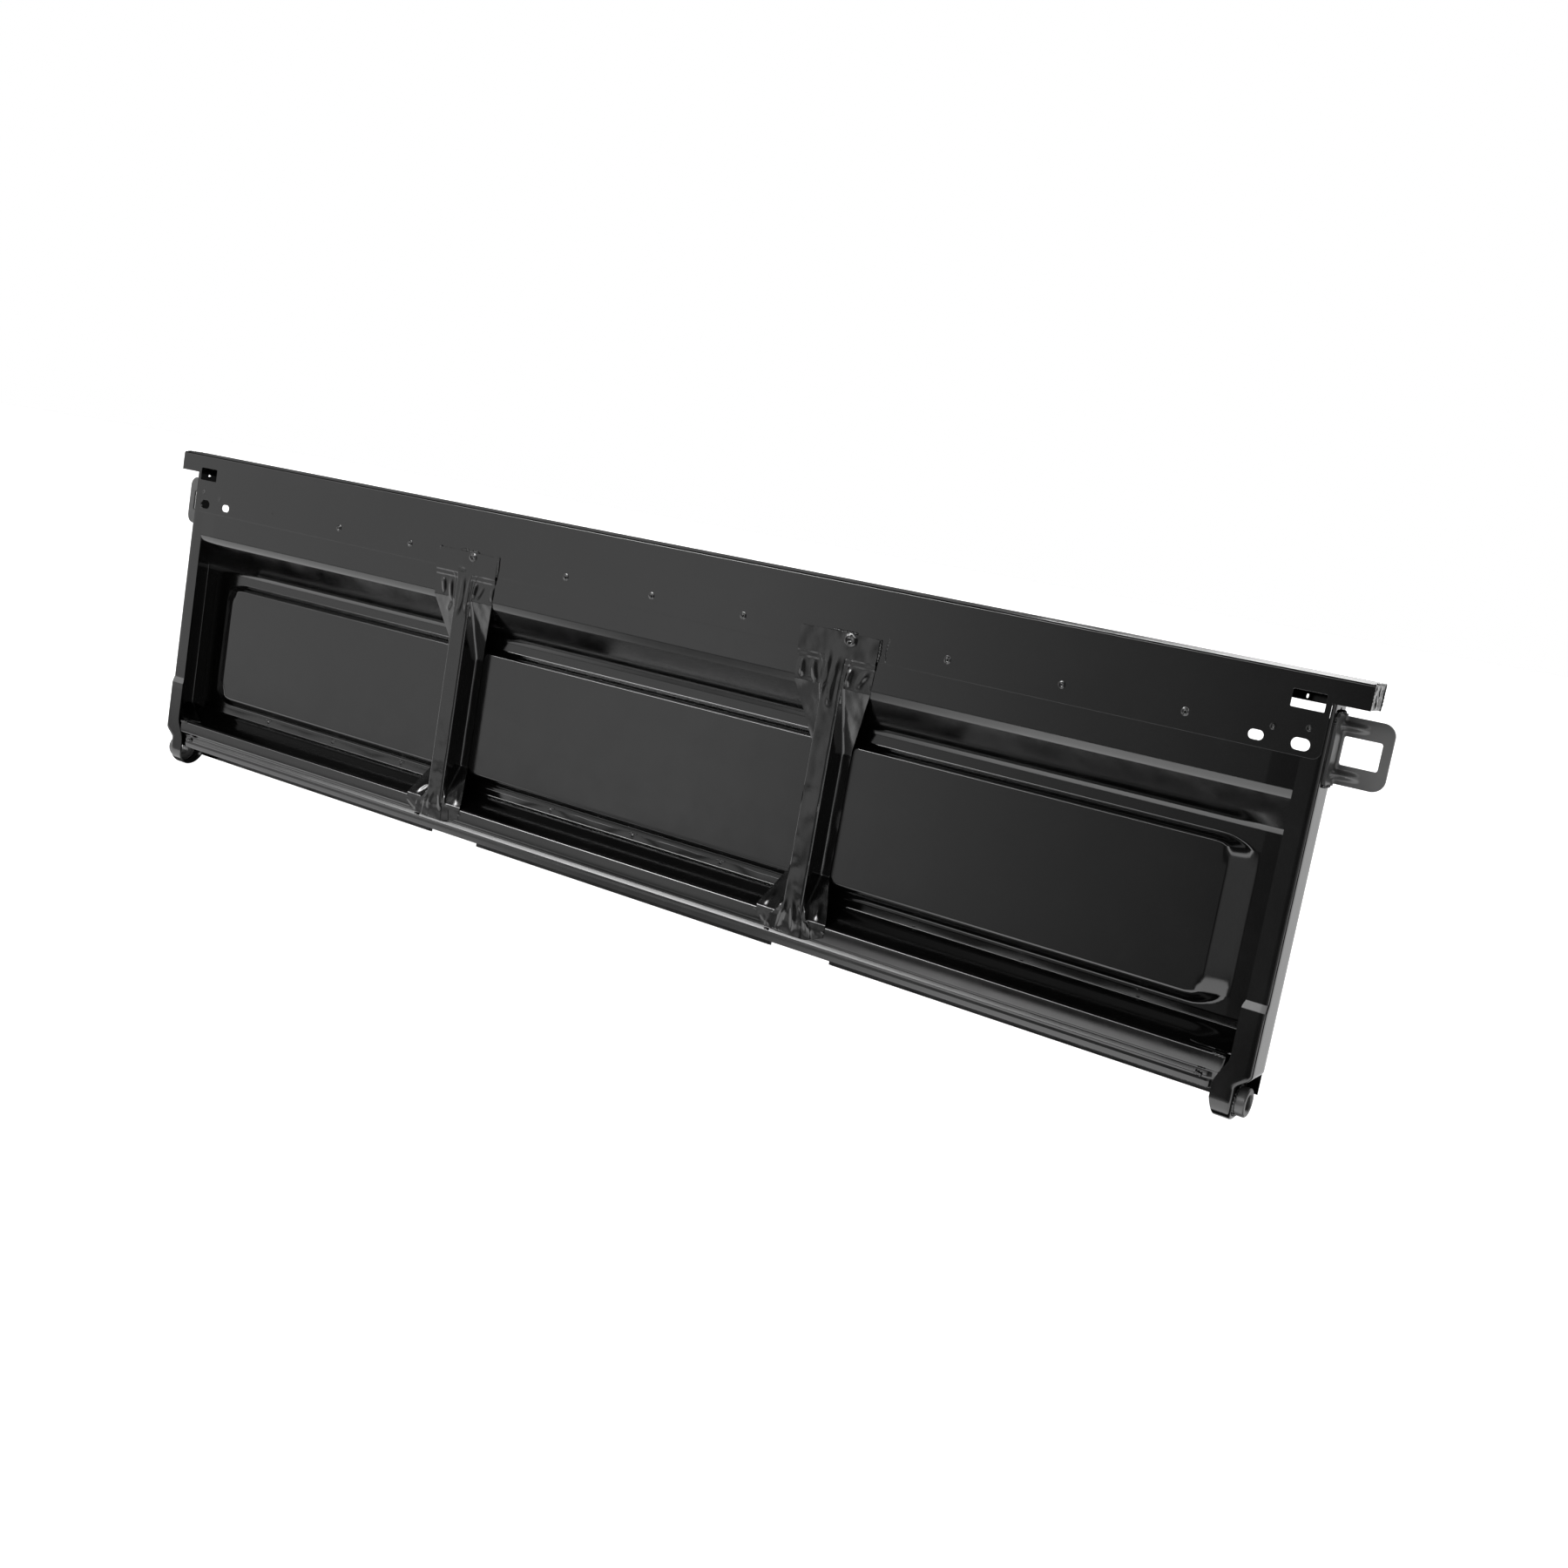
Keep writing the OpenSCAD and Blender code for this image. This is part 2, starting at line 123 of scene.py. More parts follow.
# Openings at the right end: (x, z, half width, half height), then slots (x, z, length, width), and
# how much longer and wider the slots in the sheets behind the band are
WINDOW = (769, 405.8, 16, 8.3)
LIP_HOLE = (757, 407.8, 1.1, 2)
OUTER_SLOT = (770, 365.1, 18, 11.5)
INNER_SLOT = (727.7, 365.1, 15, 9.5)
SLOT_GROW = 3

# Main panel: the raised field and how far it takes to rise at each edge, the step left at the
# foot of its ends, the slope under the band, and where the bends have run out into the flat skin
FIELD_HALF, FIELD_LOW, FIELD_HIGH, FIELD_RISE, FIELD_R = 720, 106.3, 255.2, 12.8, 15
FIELD_RUN = {"end": 26, "top": 9.2, "low": 13.5}
FOOT_RISE = 1.1
SLOPE_TOP, SLOPE_LOW, SLOPE_R = 318, 278, 14
SKIN_TOP = 269

# Lower lip: the notch under each brace as (x, half width, height)
NOTCH = (BRACE_X - 4, 39, 6)

# Bottom rail: height of the fold below its upper flange, and half of the middle bay, where that
# flange is the loosest
SILL_FOLD = 81
MIDDLE_BAY = 235

# Side channels: width of the flanges, how far the foot is set in, heights between which the wall
# steps in and between which the front flange steps forwards, tops of the rear flange and of the
# wall, how far below a window the front flange ends, and the round hole as (d, z, radius)
FLANGE_W = 22
INSET = 14
NECK = (50, 34)
JOGGLE = (121.5, 121.5 - 3.3 * (PANEL_FACE - FOOT_FACE))
REAR_FLANGE = 268
WEB_TOP = 414
WINDOW_GAP = 4
WEB_HOLE = (20.4, 402, 2.7)

# Latch loops' eye as (distance from the end wall, length, height), hinge bushes' bore, and half the
# width of the braces' crown
EYE = (5, 36, 27)
BORE_R = frame["record"]["mounts"][0]["dims"]["r_mm"]
CROWN_HALF = 12.5

# Spot welds along the band and the bottom rail: spacing, shift along x, their numbers with the two
# behind the braces left out, and how tall the low ones on the band are
SPOT_PITCH = 129
SPOT_SHIFT = 12
SPOT_RANGE = [i for i in range(-5, 6) if abs(i) != 2]
FLAT_SPOTS = {-5: 0.12, 4: 0.5}


# ---- Small shape functions ----

def ramp(t, soft):
    """0 to 1 with a straight middle and round ends that take the share soft each"""
    t = min(max(t, 0.0), 1.0)
    top = 2 * soft * (1 - soft)
    if t < soft:
        return t * t / top
    if t > 1 - soft:
        return 1 - (1 - t) ** 2 / top
    return (t - soft / 2) / (1 - soft)


def mix(a, b, t):
    """Value at the share t of the way from a to b"""
    return a + (b - a) * t


def through(table, z):
    """Value at z along (z, value) pairs that fall in z"""
    for (z0, v0), (z1, v1) in zip(table, table[1:]):
        if z >= z1:
            return mix(v1, v0, min((z - z1) / (z0 - z1), 1.0))
    return table[-1][1]


def spread(a, b, n):
    """n + 1 even values from a to b"""
    return [mix(a, b, i / n) for i in range(n + 1)]


def stations(*stops):
    """Positions from stop to stop, given as (position, step up to the next stop)"""
    out = []
    for (a, step), (b, _) in zip(stops, stops[1:]):
        n = max(1, round(abs(b - a) / step))
        out += spread(a, b, n)[:-1]
    return out + [stops[-1][0]]


def both_ways(half):
    """Positions either side of 0, from a list that starts at 0 and climbs"""
    return [-x for x in half[:0:-1]] + half


def mirrored(outline, side):
    """(x, z) outline of the right end, or its mirror image for the left end"""
    return [(side * x, z) for x, z in outline]


def wave(x, z, size, seed):
    """Smooth uneven field between about -1 and 1, with lumps of the given size"""
    return noise.noise(Vector((x / size, z / size, seed * 7.3)))


def bent(path, radii, steps=6):
    """Path with each inner corner turned into an arc of steps + 1 points"""
    out = [Vector(path[0])]
    for a, b, c, r in zip(path, path[1:], path[2:], radii):
        a, b, c = Vector(a), Vector(b), Vector(c)
        d1, d2 = (b - a).normalized(), (c - b).normalized()
        turn = math.atan2(d1.x * d2.y - d1.y * d2.x, d1.dot(d2))
        start = b - d1 * r * math.tan(abs(turn) / 2)
        centre = start + Vector((-d1.y, d1.x)) * math.copysign(r, turn)
        arm = start - centre
        for k in range(steps + 1):
            s, co = math.sin(turn * k / steps), math.cos(turn * k / steps)
            out.append(centre + Vector((arm.x * co - arm.y * s, arm.x * s + arm.y * co)))
    return out + [Vector(path[-1])]


def rounded_box(x, z, half_w, half_h, r, steps=6):
    """Outline of a box with round corners, as (x, z) points"""
    out = []
    for k, (sx, sz) in enumerate([(1, 1), (-1, 1), (-1, -1), (1, -1)]):
        corner_x, corner_z = x + sx * (half_w - r), z + sz * (half_h - r)
        for i in range(steps + 1):
            a = (k + i / steps) * math.pi / 2
            out.append((corner_x + r * math.cos(a), corner_z + r * math.sin(a)))
    return out


def slot_outline(x, z, length, width, grow=0.0):
    """Outline of a slot with full round ends, grow longer and wider than its size"""
    r = (width + grow) / 2 - 0.01
    return rounded_box(x, z, (length + grow) / 2, (width + grow) / 2, r, 10)


def full_turn(sides):
    """Even angles round a full turn"""
    return [k * math.tau / sides for k in range(sides)]


def round_outline(a, b, r, sides=44):
    """Circle about (a, b)"""
    return [(a + r * math.cos(turn), b + r * math.sin(turn)) for turn in full_turn(sides)]


# ---- Mesh tools ----

def place(x, d, z):
    """Point of the scene, in metres"""
    return Vector((x, d + FACE, z)) * MM


def to_object(name, bm):
    mesh = bpy.data.meshes.new(name)
    bm.to_mesh(mesh)
    bm.free()
    piece = bpy.data.objects.new(name, mesh)
    bpy.context.scene.collection.objects.link(piece)
    return piece


def bake_modifiers(piece):
    """Turns the piece's modifiers into plain mesh"""
    graph = bpy.context.evaluated_depsgraph_get()
    mesh = bpy.data.meshes.new_from_object(piece.evaluated_get(graph))
    piece.modifiers.clear()
    piece.data = mesh


def add_rows(bm, rows, flip, drop=None):
    """Quads through rows of (x, d, z) points; drop(x, d, z) leaves a quad out"""
    grid = [[bm.verts.new(place(*p)) for p in row] for row in rows]
    for i in range(len(rows) - 1):
        for j in range(len(rows[0]) - 1):
            at = [(i, j), (i + 1, j), (i + 1, j + 1), (i, j + 1)]
            middle = [sum(rows[a][b][k] for a, b in at) / 4 for k in range(3)]
            if drop and drop(*middle):
                continue
            face = [grid[a][b] for a, b in at]
            bm.faces.new(face[::-1] if flip else face)


def sheet(name, rows, thickness, flip=False, drop=None):
    """Solid sheet whose outer face runs through the rows; its thickness goes inwards"""
    bm = bmesh.new()
    add_rows(bm, rows, flip, drop)
    bmesh.ops.remove_doubles(bm, verts=bm.verts, dist=0.02 * MM)
    loose = [v for v in bm.verts if not v.link_faces]
    bmesh.ops.delete(bm, geom=loose, context="VERTS")
    piece = to_object(name, bm)
    solid = piece.modifiers.new("thickness", "SOLIDIFY")
    solid.thickness = thickness * MM
    solid.offset = -1
    solid.use_even_offset = True
    bake_modifiers(piece)
    return piece


def prism(bm, outline, a, b, along="d"):
    """Closed prism from a to b: an (x, z) outline along d, or a (d, z) outline along x"""
    def at(p, s):
        return place(p[0], s, p[1]) if along == "d" else place(s, p[0], p[1])
    near = [bm.verts.new(at(p, a)) for p in outline]
    far = [bm.verts.new(at(p, b)) for p in outline]
    faces = [bm.faces.new(near), bm.faces.new(far[::-1])]
    for i in range(len(outline)):
        j = (i + 1) % len(outline)
        faces.append(bm.faces.new([near[j], near[i], far[i], far[j]]))
    bmesh.ops.recalc_face_normals(bm, faces=faces)


def cut(piece, prisms):
    """Takes the prisms, given as (outline, a, b, along), out of the piece"""
    bm = bmesh.new()
    for p in prisms:
        prism(bm, *p)
    tool = to_object("cutter", bm)
    hole = piece.modifiers.new("cut", "BOOLEAN")
    hole.operation = "DIFFERENCE"
    hole.solver = "EXACT"
    hole.use_self = True
    hole.object = tool
    bake_modifiers(piece)
    bpy.data.objects.remove(tool)


def bead(bm, points, radius, seed, ripple, sides=10):
    """Weld bead with ripples along a line of (x, d, z) points, closed and narrower at its ends"""
    random.seed(seed)
    line = [place(*p) for p in points]
    rings = []
    total = len(line) - 1
    for i, p in enumerate(line):
        ahead = (line[min(i + 1, total)] - line[max(i - 1, 0)]).normalized()
        across = ahead.cross(Vector((0.31, 0.87, 0.37))).normalized()
        other = ahead.cross(across)
        end = math.sqrt(max(1 - (2 * i / total - 1) ** 8, 0.04))
        size = radius * MM * end * (1 + ripple * math.sin(i * 1.9) + random.uniform(-ripple, ripple) * 0.6)
        rings.append([bm.verts.new(p + size * (across * math.cos(turn) + other * math.sin(turn)))
                      for turn in full_turn(sides)])
    for a, b in zip(rings, rings[1:]):
        for k in range(sides):
            bm.faces.new([a[k], a[(k + 1) % sides], b[(k + 1) % sides], b[k]])
    bm.faces.new(rings[0][::-1])
    bm.faces.new(rings[-1])


def lathe_disc(bm, x, d, z, profile, seed, sides=20, rough=0.08):
    """Low round nugget on a face at depth d; the profile is (radius, height towards -d) pairs"""
    rings = []
    for r, h in profile:
        ring = []
        for turn in full_turn(sides):
            c, s = math.cos(turn), math.sin(turn)
            wide = r * (1 + rough * noise.noise(Vector((c * 1.3, s * 1.3, seed * 3.1 + r * 0.2))))
            lean = 1 + 3 * rough * math.cos(turn + seed)
            ring.append(bm.verts.new(place(x + wide * c, d - h * lean, z + wide * s)))
        rings.append(ring)
    for a, b in zip(rings, rings[1:]):
        for k in range(sides):
            bm.faces.new([a[k], b[k], b[(k + 1) % sides], a[(k + 1) % sides]])
    bm.faces.new(rings[-1])


def turned(name, x_profile, side):
    """Ring turned about the hinge axis from a closed (x, radius) profile"""
    bm = bmesh.new()
    sides = 56
    rings = [[bm.verts.new(place(side * x, FOOT_D + r * math.cos(turn), BUSH_Z + r * math.sin(turn)))
              for turn in full_turn(sides)] for x, r in x_profile]
    for a, b in zip(rings, rings[1:] + rings[:1]):
        for k in range(sides):
            face = [a[k], a[(k + 1) % sides], b[(k + 1) % sides], b[k]]
            bm.faces.new(face if side > 0 else face[::-1])
    bmesh.ops.recalc_face_normals(bm, faces=bm.faces)
    return to_object(name, bm)


def finish_piece(piece, nodes, slot, edge=0.3):
    """Rounds the sharp edges, gives the piece its material and ties it to the frame"""
    if edge:
        bevel = piece.modifiers.new("edges", "BEVEL")
        bevel.width = edge * MM
        bevel.segments = 2
        bevel.limit_method = "ANGLE"
        bevel.angle_limit = math.radians(40)
        bevel.harden_normals = True
    piece.data.shade_smooth()
    piece.data.materials.clear()
    piece.data.materials.append(coats[slot])
    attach(piece, "root")
    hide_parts(*nodes)


# ---- Materials ----

def add_node(tree, kind, **values):
    """New shader node with the given inputs or settings"""
    node = tree.nodes.new(kind)
    for key, value in values.items():
        if key in node.inputs:
            node.inputs[key].default_value = value
        else:
            setattr(node, key, value)
    return node


def noise_at(tree, place_socket, scale, detail, roughness=0.5):
    node = add_node(tree, "ShaderNodeTexNoise", Scale=scale, Detail=detail, Roughness=roughness)
    tree.links.new(place_socket, node.inputs["Vector"])
    return node.outputs["Fac"]


def vary(tree, noise_socket, low, high, target):
    """Drives the target input between low and high with a noise"""
    span = add_node(tree, "ShaderNodeMapRange")
    tree.links.new(noise_socket, span.inputs["Value"])
    span.inputs["From Min"].default_value = 0.3
    span.inputs["From Max"].default_value = 0.7
    span.inputs["To Min"].default_value = low
    span.inputs["To Max"].default_value = high
    tree.links.new(span.outputs["Result"], target)


def coating(slot, base, rough, peel, waviness, lumps):
    """Black dip coating: uneven tint and gloss over long waves, orange peel and lumps"""
    material = bpy.data.materials.new(slot)
    material.use_nodes = True
    tree = material.node_tree
    shader = tree.nodes["Principled BSDF"]
    shader.inputs["IOR"].default_value = 1.5
    at = tree.nodes.new("ShaderNodeTexCoord").outputs["Object"]

    vary(tree, noise_at(tree, at, 9, 4), base * 0.6, base * 1.5, shader.inputs["Base Color"])
    vary(tree, noise_at(tree, at, 24, 6, 0.6), rough - 0.04, rough + 0.04, shader.inputs["Roughness"])
    normal = None
    layers = [(7, 1, waviness, 0.004), (1300, 2, peel, 0.00004), (160, 3, lumps, 0.0004)]
    for scale, detail, strength, height in layers:
        bump = add_node(tree, "ShaderNodeBump", Strength=strength, Distance=height)
        tree.links.new(noise_at(tree, at, scale, detail), bump.inputs["Height"])
        if normal:
            tree.links.new(normal, bump.inputs["Normal"])
        normal = bump.outputs["Normal"]
    tree.links.new(normal, shader.inputs["Normal"])
    return material


# Base colour, roughness, then the strength of the orange peel, the long waves and the lumps
COAT_LOOKS = {
    "coated_sheet": (0.001, 0.12, 0.3, 0.06, 0.02),
    "coated_panel": (0.001, 0.12, 0.35, 0.05, 0.02),
    "coated_frame": (0.001, 0.12, 0.3, 0.06, 0.03),
    "coated_brace": (0.0015, 0.13, 0.25, 0.08, 0.15),
    "coated_fitting": (0.04, 0.38, 0.25, 0.1, 0.12),
    "coated_weld": (0.0015, 0.12, 0.3, 0.1, 0.4),
}
coats = {slot: coating(slot, *look) for slot, look in COAT_LOOKS.items()}


# ---- Top rail ----

def make_top_rail():
    """Folded rail: band, top and back lip, cut back at both ends below the overhanging cap"""
    path = bent([(DEPTH - LIP_LEAN, LIP_LOW), (DEPTH, TOP), (0, TOP - TOP_FALL), (0, BAND_Z)],
                [3, 2.3], 10)
    rows = [[(x, p.x, p.y) for x in (-HALF, HALF)] for p in path]
    rail = sheet("top_rail_sheet", rows, RAIL_T)
    over_z = TOP - LIP_H
    past_end = HALF + 5
    r = 8
    band_end = [(BAND_HALF, over_z), (BAND_HALF, BAND_Z + r)]
    band_end += [(BAND_HALF - r + r * math.cos(a), BAND_Z + r - r * math.sin(a))
                 for a in spread(0, math.pi / 2, 8)[1:]]
    band_end += [(BAND_HALF - r, BAND_Z - 5), (past_end, BAND_Z - 5), (past_end, over_z)]
    lip_end = [(BAND_HALF, LIP_LOW - 2), (BAND_HALF, over_z), (past_end, over_z), (past_end, LIP_LOW - 2)]
    in_band = [band_end, rounded_box(*WINDOW, 1.2), slot_outline(*OUTER_SLOT), slot_outline(*INNER_SLOT)]
    in_lip = [lip_end, rounded_box(*LIP_HOLE, 0.9)]
    holes = []
    for side in (LEFT, RIGHT):
        holes += [(mirrored(shape, side), -2, RAIL_T + 2, "d") for shape in in_band]
        holes += [(mirrored(shape, side), DEPTH - RAIL_T - 6, DEPTH + 2, "d") for shape in in_lip]
    cut(rail, holes)
    finish_piece(rail, ["top_rail"], "coated_sheet")


def make_rail_end(side):
    """End cap of the rail, a little crumpled except along its edges"""
    name = SIDE_NAME[side] + "_rail_end_cap"
    front, back, low = 0.6, DEPTH - RAIL_T, TOP - LIP_H
    calm_edge = 5
    rows = []
    for z in spread(low + 0.4, TOP - RAIL_T, 18):
        row = []
        for d in spread(front, back, 30):
            share = min(min(d - front, back - d, z - low, TOP - z) / calm_edge, 1)
            dent = 0.9 * wave(d, z, 7, side * 2 + 5) + 0.5 * wave(d, z, 3, side + 9)
            row.append((side * (HALF - RAIL_T / 2 + share * dent), d, z))
        rows.append(row)
    finish_piece(sheet(name + "_sheet", rows, RAIL_T, flip=side > 0), [name], "coated_sheet")


# ---- Main panel ----

def panel_depth(x, z, base):
    """Depth of the panel's face: its bent profile, with the long raised field pressed into it"""
    qx = abs(x) - (FIELD_HALF - FIELD_R)
    upper = z > (FIELD_HIGH + FIELD_LOW) / 2
    qz = z - (FIELD_HIGH - FIELD_R) if upper else (FIELD_LOW + FIELD_R) - z
    run_z = FIELD_RUN["top" if upper else "low"]
    run_x = FIELD_RUN["end"]
    end_soft, long_soft = 0.06, 0.5
    if qx > 0 and qz > 0:
        angle = math.atan2(qz, qx)
        edge_x, edge_z = FIELD_R + run_x, FIELD_R + run_z
        reach = 1 / math.hypot(math.cos(angle) / edge_x, math.sin(angle) / edge_z)
        t = (math.hypot(qx, qz) - FIELD_R) / (reach - FIELD_R)
        soft = mix(end_soft, long_soft, math.sin(angle) ** 2)
    elif qx > qz:
        t, soft = (qx - FIELD_R) / run_x, end_soft
    else:
        t, soft = (qz - FIELD_R) / run_z, long_soft
    foot = FOOT_RISE * min(max((PANEL_X - abs(x)) / (PANEL_X - FIELD_HALF - run_x), 0), 1)
    return base - mix(FIELD_RISE, foot, ramp(t, soft))


def make_main_panel():
    """Pressed skin: strip behind the band, slope, field and lower lip, with finer rows at its bends"""
    path = bent([(PANEL_FACE, STRIP_TOP), (PANEL_FACE, SLOPE_TOP), (SKIN, SLOPE_LOW), (SKIN, SKIN_TOP)],
                [SLOPE_R + 2, SLOPE_R - 3], 10)
    profile = [(p.x, p.y) for p in path]
    heights = stations((SKIN_TOP, 2), (265, 0.6), (253, 9), (109, 0.8), (91, 6),
                       (LIP_Z + NOTCH[2], 6), (LIP_Z, 6))
    profile += [(SKIN, z) for z in heights[1:]]
    flange_edge = END_X - FLANGE_W
    half = stations((0, 24), (700, 4), (712, 1), (726, 3), (741, 0.8), (750, 4),
                    (flange_edge, 4), (PANEL_X, 10))
    notch_edges = [NOTCH[0] - NOTCH[1], NOTCH[0] + NOTCH[1]]
    xs = both_ways(sorted(half + notch_edges))
    rows = [[(x, panel_depth(x, z, d), z) for x in xs] for d, z in profile]

    def drop(x, d, z):
        """Leaves out what would run behind the front flanges and the feet, and the notches"""
        behind_flange = abs(x) > flange_edge and d < 12 and z > SLOPE_TOP - 9
        behind_foot = abs(x) > flange_edge and z < 22
        notch = abs(abs(x) - NOTCH[0]) < NOTCH[1] and z < LIP_Z + NOTCH[2]
        return behind_flange or behind_foot or notch

    panel = sheet("main_panel_sheet", rows, PANEL_T, drop=drop)
    cut(panel, [(mirrored(slot_outline(*slot, grow=SLOT_GROW), side), -2, 6, "d")
                for side in (LEFT, RIGHT) for slot in (OUTER_SLOT, INNER_SLOT)])
    finish_piece(panel, ["main_panel"], "coated_panel", edge=0.2)


# ---- Bottom rail ----

def sill_profile(groove, lean):
    """Outer face of the bottom rail; groove goes from 0 at the ends to 1 along the middle, and lean
    from 0 to 1 where the upper face tips forwards"""
    back = SKIN - SILL_T
    g = max(groove, 0.03)
    flange = [(back - 1.6 * lean, SILL_TOP), (back + 0.5 * lean, SILL_FOLD)]
    face = [(-0.8, 62.4), (mix(-1.1, 0.05, lean), mix(47.5, 45.7, lean)), (mix(2, 2.3, g), 43.6)]
    beads = [(mix(3, 0.3, g), 38), (mix(3.1, 0.8, g), 36), (mix(3.3, 0.1, g), 33.4), (mix(3.6, 1, g), 27)]
    lip = [(back, 27), (back, LIP_Z)]
    return bent(flange + face + beads + lip, [2.4, 5, 2.5, 2.2, 1.6, 0.9, 1.1, 2, 1], 6)


def make_bottom_rail():
    """Beaded box rail: curled in at its ends, its upper flange wavy between the spot welds"""
    back = SKIN - SILL_T
    curl_w = 5
    columns = []
    for x in both_ways(stations((0, 7), (SILL_X - 24, 1.5), (SILL_X - curl_w, 0.6), (SILL_X, 1))):
        from_end = SILL_X - abs(x)
        groove = ramp((from_end - 9) / 7, 0.4)
        lean = ramp((x - 200) / 150, 0.5)
        curl = max(1 - from_end / curl_w, 0)
        pull = 4.5 * (1 - math.sqrt(1 - min(curl, 0.999) ** 2))
        between_spots = 0.5 - 0.5 * math.cos((x - SPOT_SHIFT) / SPOT_PITCH * math.tau)
        in_middle = abs(x) < MIDDLE_BAY
        loose = between_spots * (1.0 if in_middle else 0.35)
        column = []
        for p in sill_profile(groove, lean):
            d, z = p.x, p.y
            share = max((z - SILL_FOLD - 1) / (SILL_TOP - SILL_FOLD - 1), 0)
            d -= loose * share * (0.9 + 0.7 * wave(x, 0, 37, 3))
            z += share * (1.1 * wave(x, 0, 31, 5) - 0.5) * (1 if in_middle else 0.3)
            d += pull * (1 - d / back)
            column.append((x, d, z))
        columns.append(column)

    def in_notch(x, d, z):
        return abs(abs(x) - NOTCH[0]) < NOTCH[1] and z < LIP_Z + NOTCH[2] + 1

    rail = sheet("bottom_rail_sheet", columns, SILL_T, flip=True, drop=in_notch)
    finish_piece(rail, ["bottom_rail"], "coated_panel", edge=0.3)


# ---- Side channels ----

def make_side_channel(side):
    """Shallow pressed tray: end wall with a flange along its front, its round foot and its back"""
    name = SIDE_NAME[side] + "_side_channel"
    corner = 3.0
    front_top = WINDOW[1] - WINDOW[3] - WINDOW_GAP
    low_extra = 2
    foot_from, foot_run = 66, 34

    def wall_x(z):
        """Outer face of the end wall"""
        return END_X - INSET * (1 - ramp((z - NECK[1]) / (NECK[0] - NECK[1]), 0.35))

    def inner_x(z):
        """Inner edge of a flange: a little wider below the joggle, then inwards with the foot"""
        low = low_extra * ramp((JOGGLE[0] - z) / 8, 0.3)
        return END_X - FLANGE_W - low - (INSET - low_extra) * ramp((foot_from - z) / foot_run, 0.3)

    def rear_d(z):
        """Depth of the rear edge, which steps in a little where only the end wall goes on"""
        return SKIN - 0.5 * ramp((z - CHANNEL_TOP + 1) / 1.2, 0.3)

    def front_d(z):
        """Depth of the front edge, from the foot's face over the joggle to the band's back"""
        return mix(FOOT_FACE, PANEL_FACE, ramp((z - JOGGLE[1]) / (JOGGLE[0] - JOGGLE[1]), 0.1))

    def half_section(x_in, x_wall, d, z, nd, nz):
        """Flange and corner at one edge; (nd, nz) points into the tray"""
        start = x_wall - corner
        reach = max(start - x_in, 0.4)
        points = [(start - reach * (1 - t), d, z) for t in spread(0, 1, 5)]
        for a in spread(0, math.pi / 2, 5)[1:]:
            inwards = corner * (1 - math.cos(a))
            points.append((start + corner * math.sin(a), d + nd * inwards, z + nz * inwards))
        return points

    levels = stations((WEB_TOP, 4), (CHANNEL_TOP, 0.6), (CHANNEL_TOP - 1, 8), (front_top, 0.6),
                      (front_top - 0.6, 12), (REAR_FLANGE + 0.6, 0.6), (REAR_FLANGE, 14),
                      (123, 0.6), (112, 7), (68, 3), (54, 1.6), (30, 3), (FOOT_R, 3))
    rows = []
    for z in levels:
        x_wall = wall_x(z)
        no_flange = x_wall - corner
        front_in = inner_x(z) if z < front_top else no_flange
        rear_in = END_X - FLANGE_W if z < REAR_FLANGE + 0.3 else no_flange
        if z < foot_from:
            rear_in = inner_x(z)
        front = half_section(front_in, x_wall, front_d(z), z, 1, 0)
        rear = half_section(rear_in, x_wall, rear_d(z), z, -1, 0)
        rows.append((front, rear))
    for a in spread(0, math.pi / 2, 14)[1:]:
        c, s = math.cos(a), math.sin(a)
        x_in = inner_x(0) + 5 * s
        z = FOOT_R - FOOT_R * s
        front = half_section(x_in, END_X - INSET, FOOT_D - FOOT_R * c, z, c, s)
        rear = half_section(x_in, END_X - INSET, FOOT_D + FOOT_R * c, z, -c, s)
        rows.append((front, rear))
    grid = []
    for front, rear in rows:
        a, b = Vector(front[-1]), Vector(rear[-1])
        wall = [tuple(a.lerp(b, t)) for t in spread(0, 1, 6)[1:-1]]
        grid.append([(side * x, d, z) for x, d, z in front + wall + rear[::-1]])
    channel = sheet(name + "_sheet", grid, FRAME_T, flip=side < 0)
    outside = side * (END_X + 4)
    bush_hole = round_outline(FOOT_D, BUSH_Z, BUSH_R + 0.1)
    cut(channel, [(mirrored(slot_outline(*OUTER_SLOT, grow=SLOT_GROW), side), -3, 6, "d"),
                  (bush_hole, side * (END_X - INSET - 12), outside, "x"),
                  (round_outline(*WEB_HOLE), side * (END_X - 8), outside, "x")])
    finish_piece(channel, [name], "coated_frame")


def make_corner_gusset(side):
    """Triangle over the end of the bottom rail's sloping top, wide at the front, its inner edge
    turned up"""
    name = SIDE_NAME[side] + "_corner_gusset"
    front_w, back_w, outer = 64, 3, PANEL_X - 2
    turned_up = 1.4
    rows = []
    for t in spread(0, 1, 12):
        d = mix(2, SKIN - SILL_T - 1.5, t)
        z = mix(66.2, 81.2, t)
        inner = PANEL_X - mix(front_w, back_w, t)
        rows.append([(side * mix(inner, outer, s), d, z + turned_up * max(1 - s * 6, 0))
                     for s in spread(0, 1, 10)])
    finish_piece(sheet(name + "_sheet", rows, SILL_T, flip=side > 0), [name], "coated_frame")


# ---- Braces ----

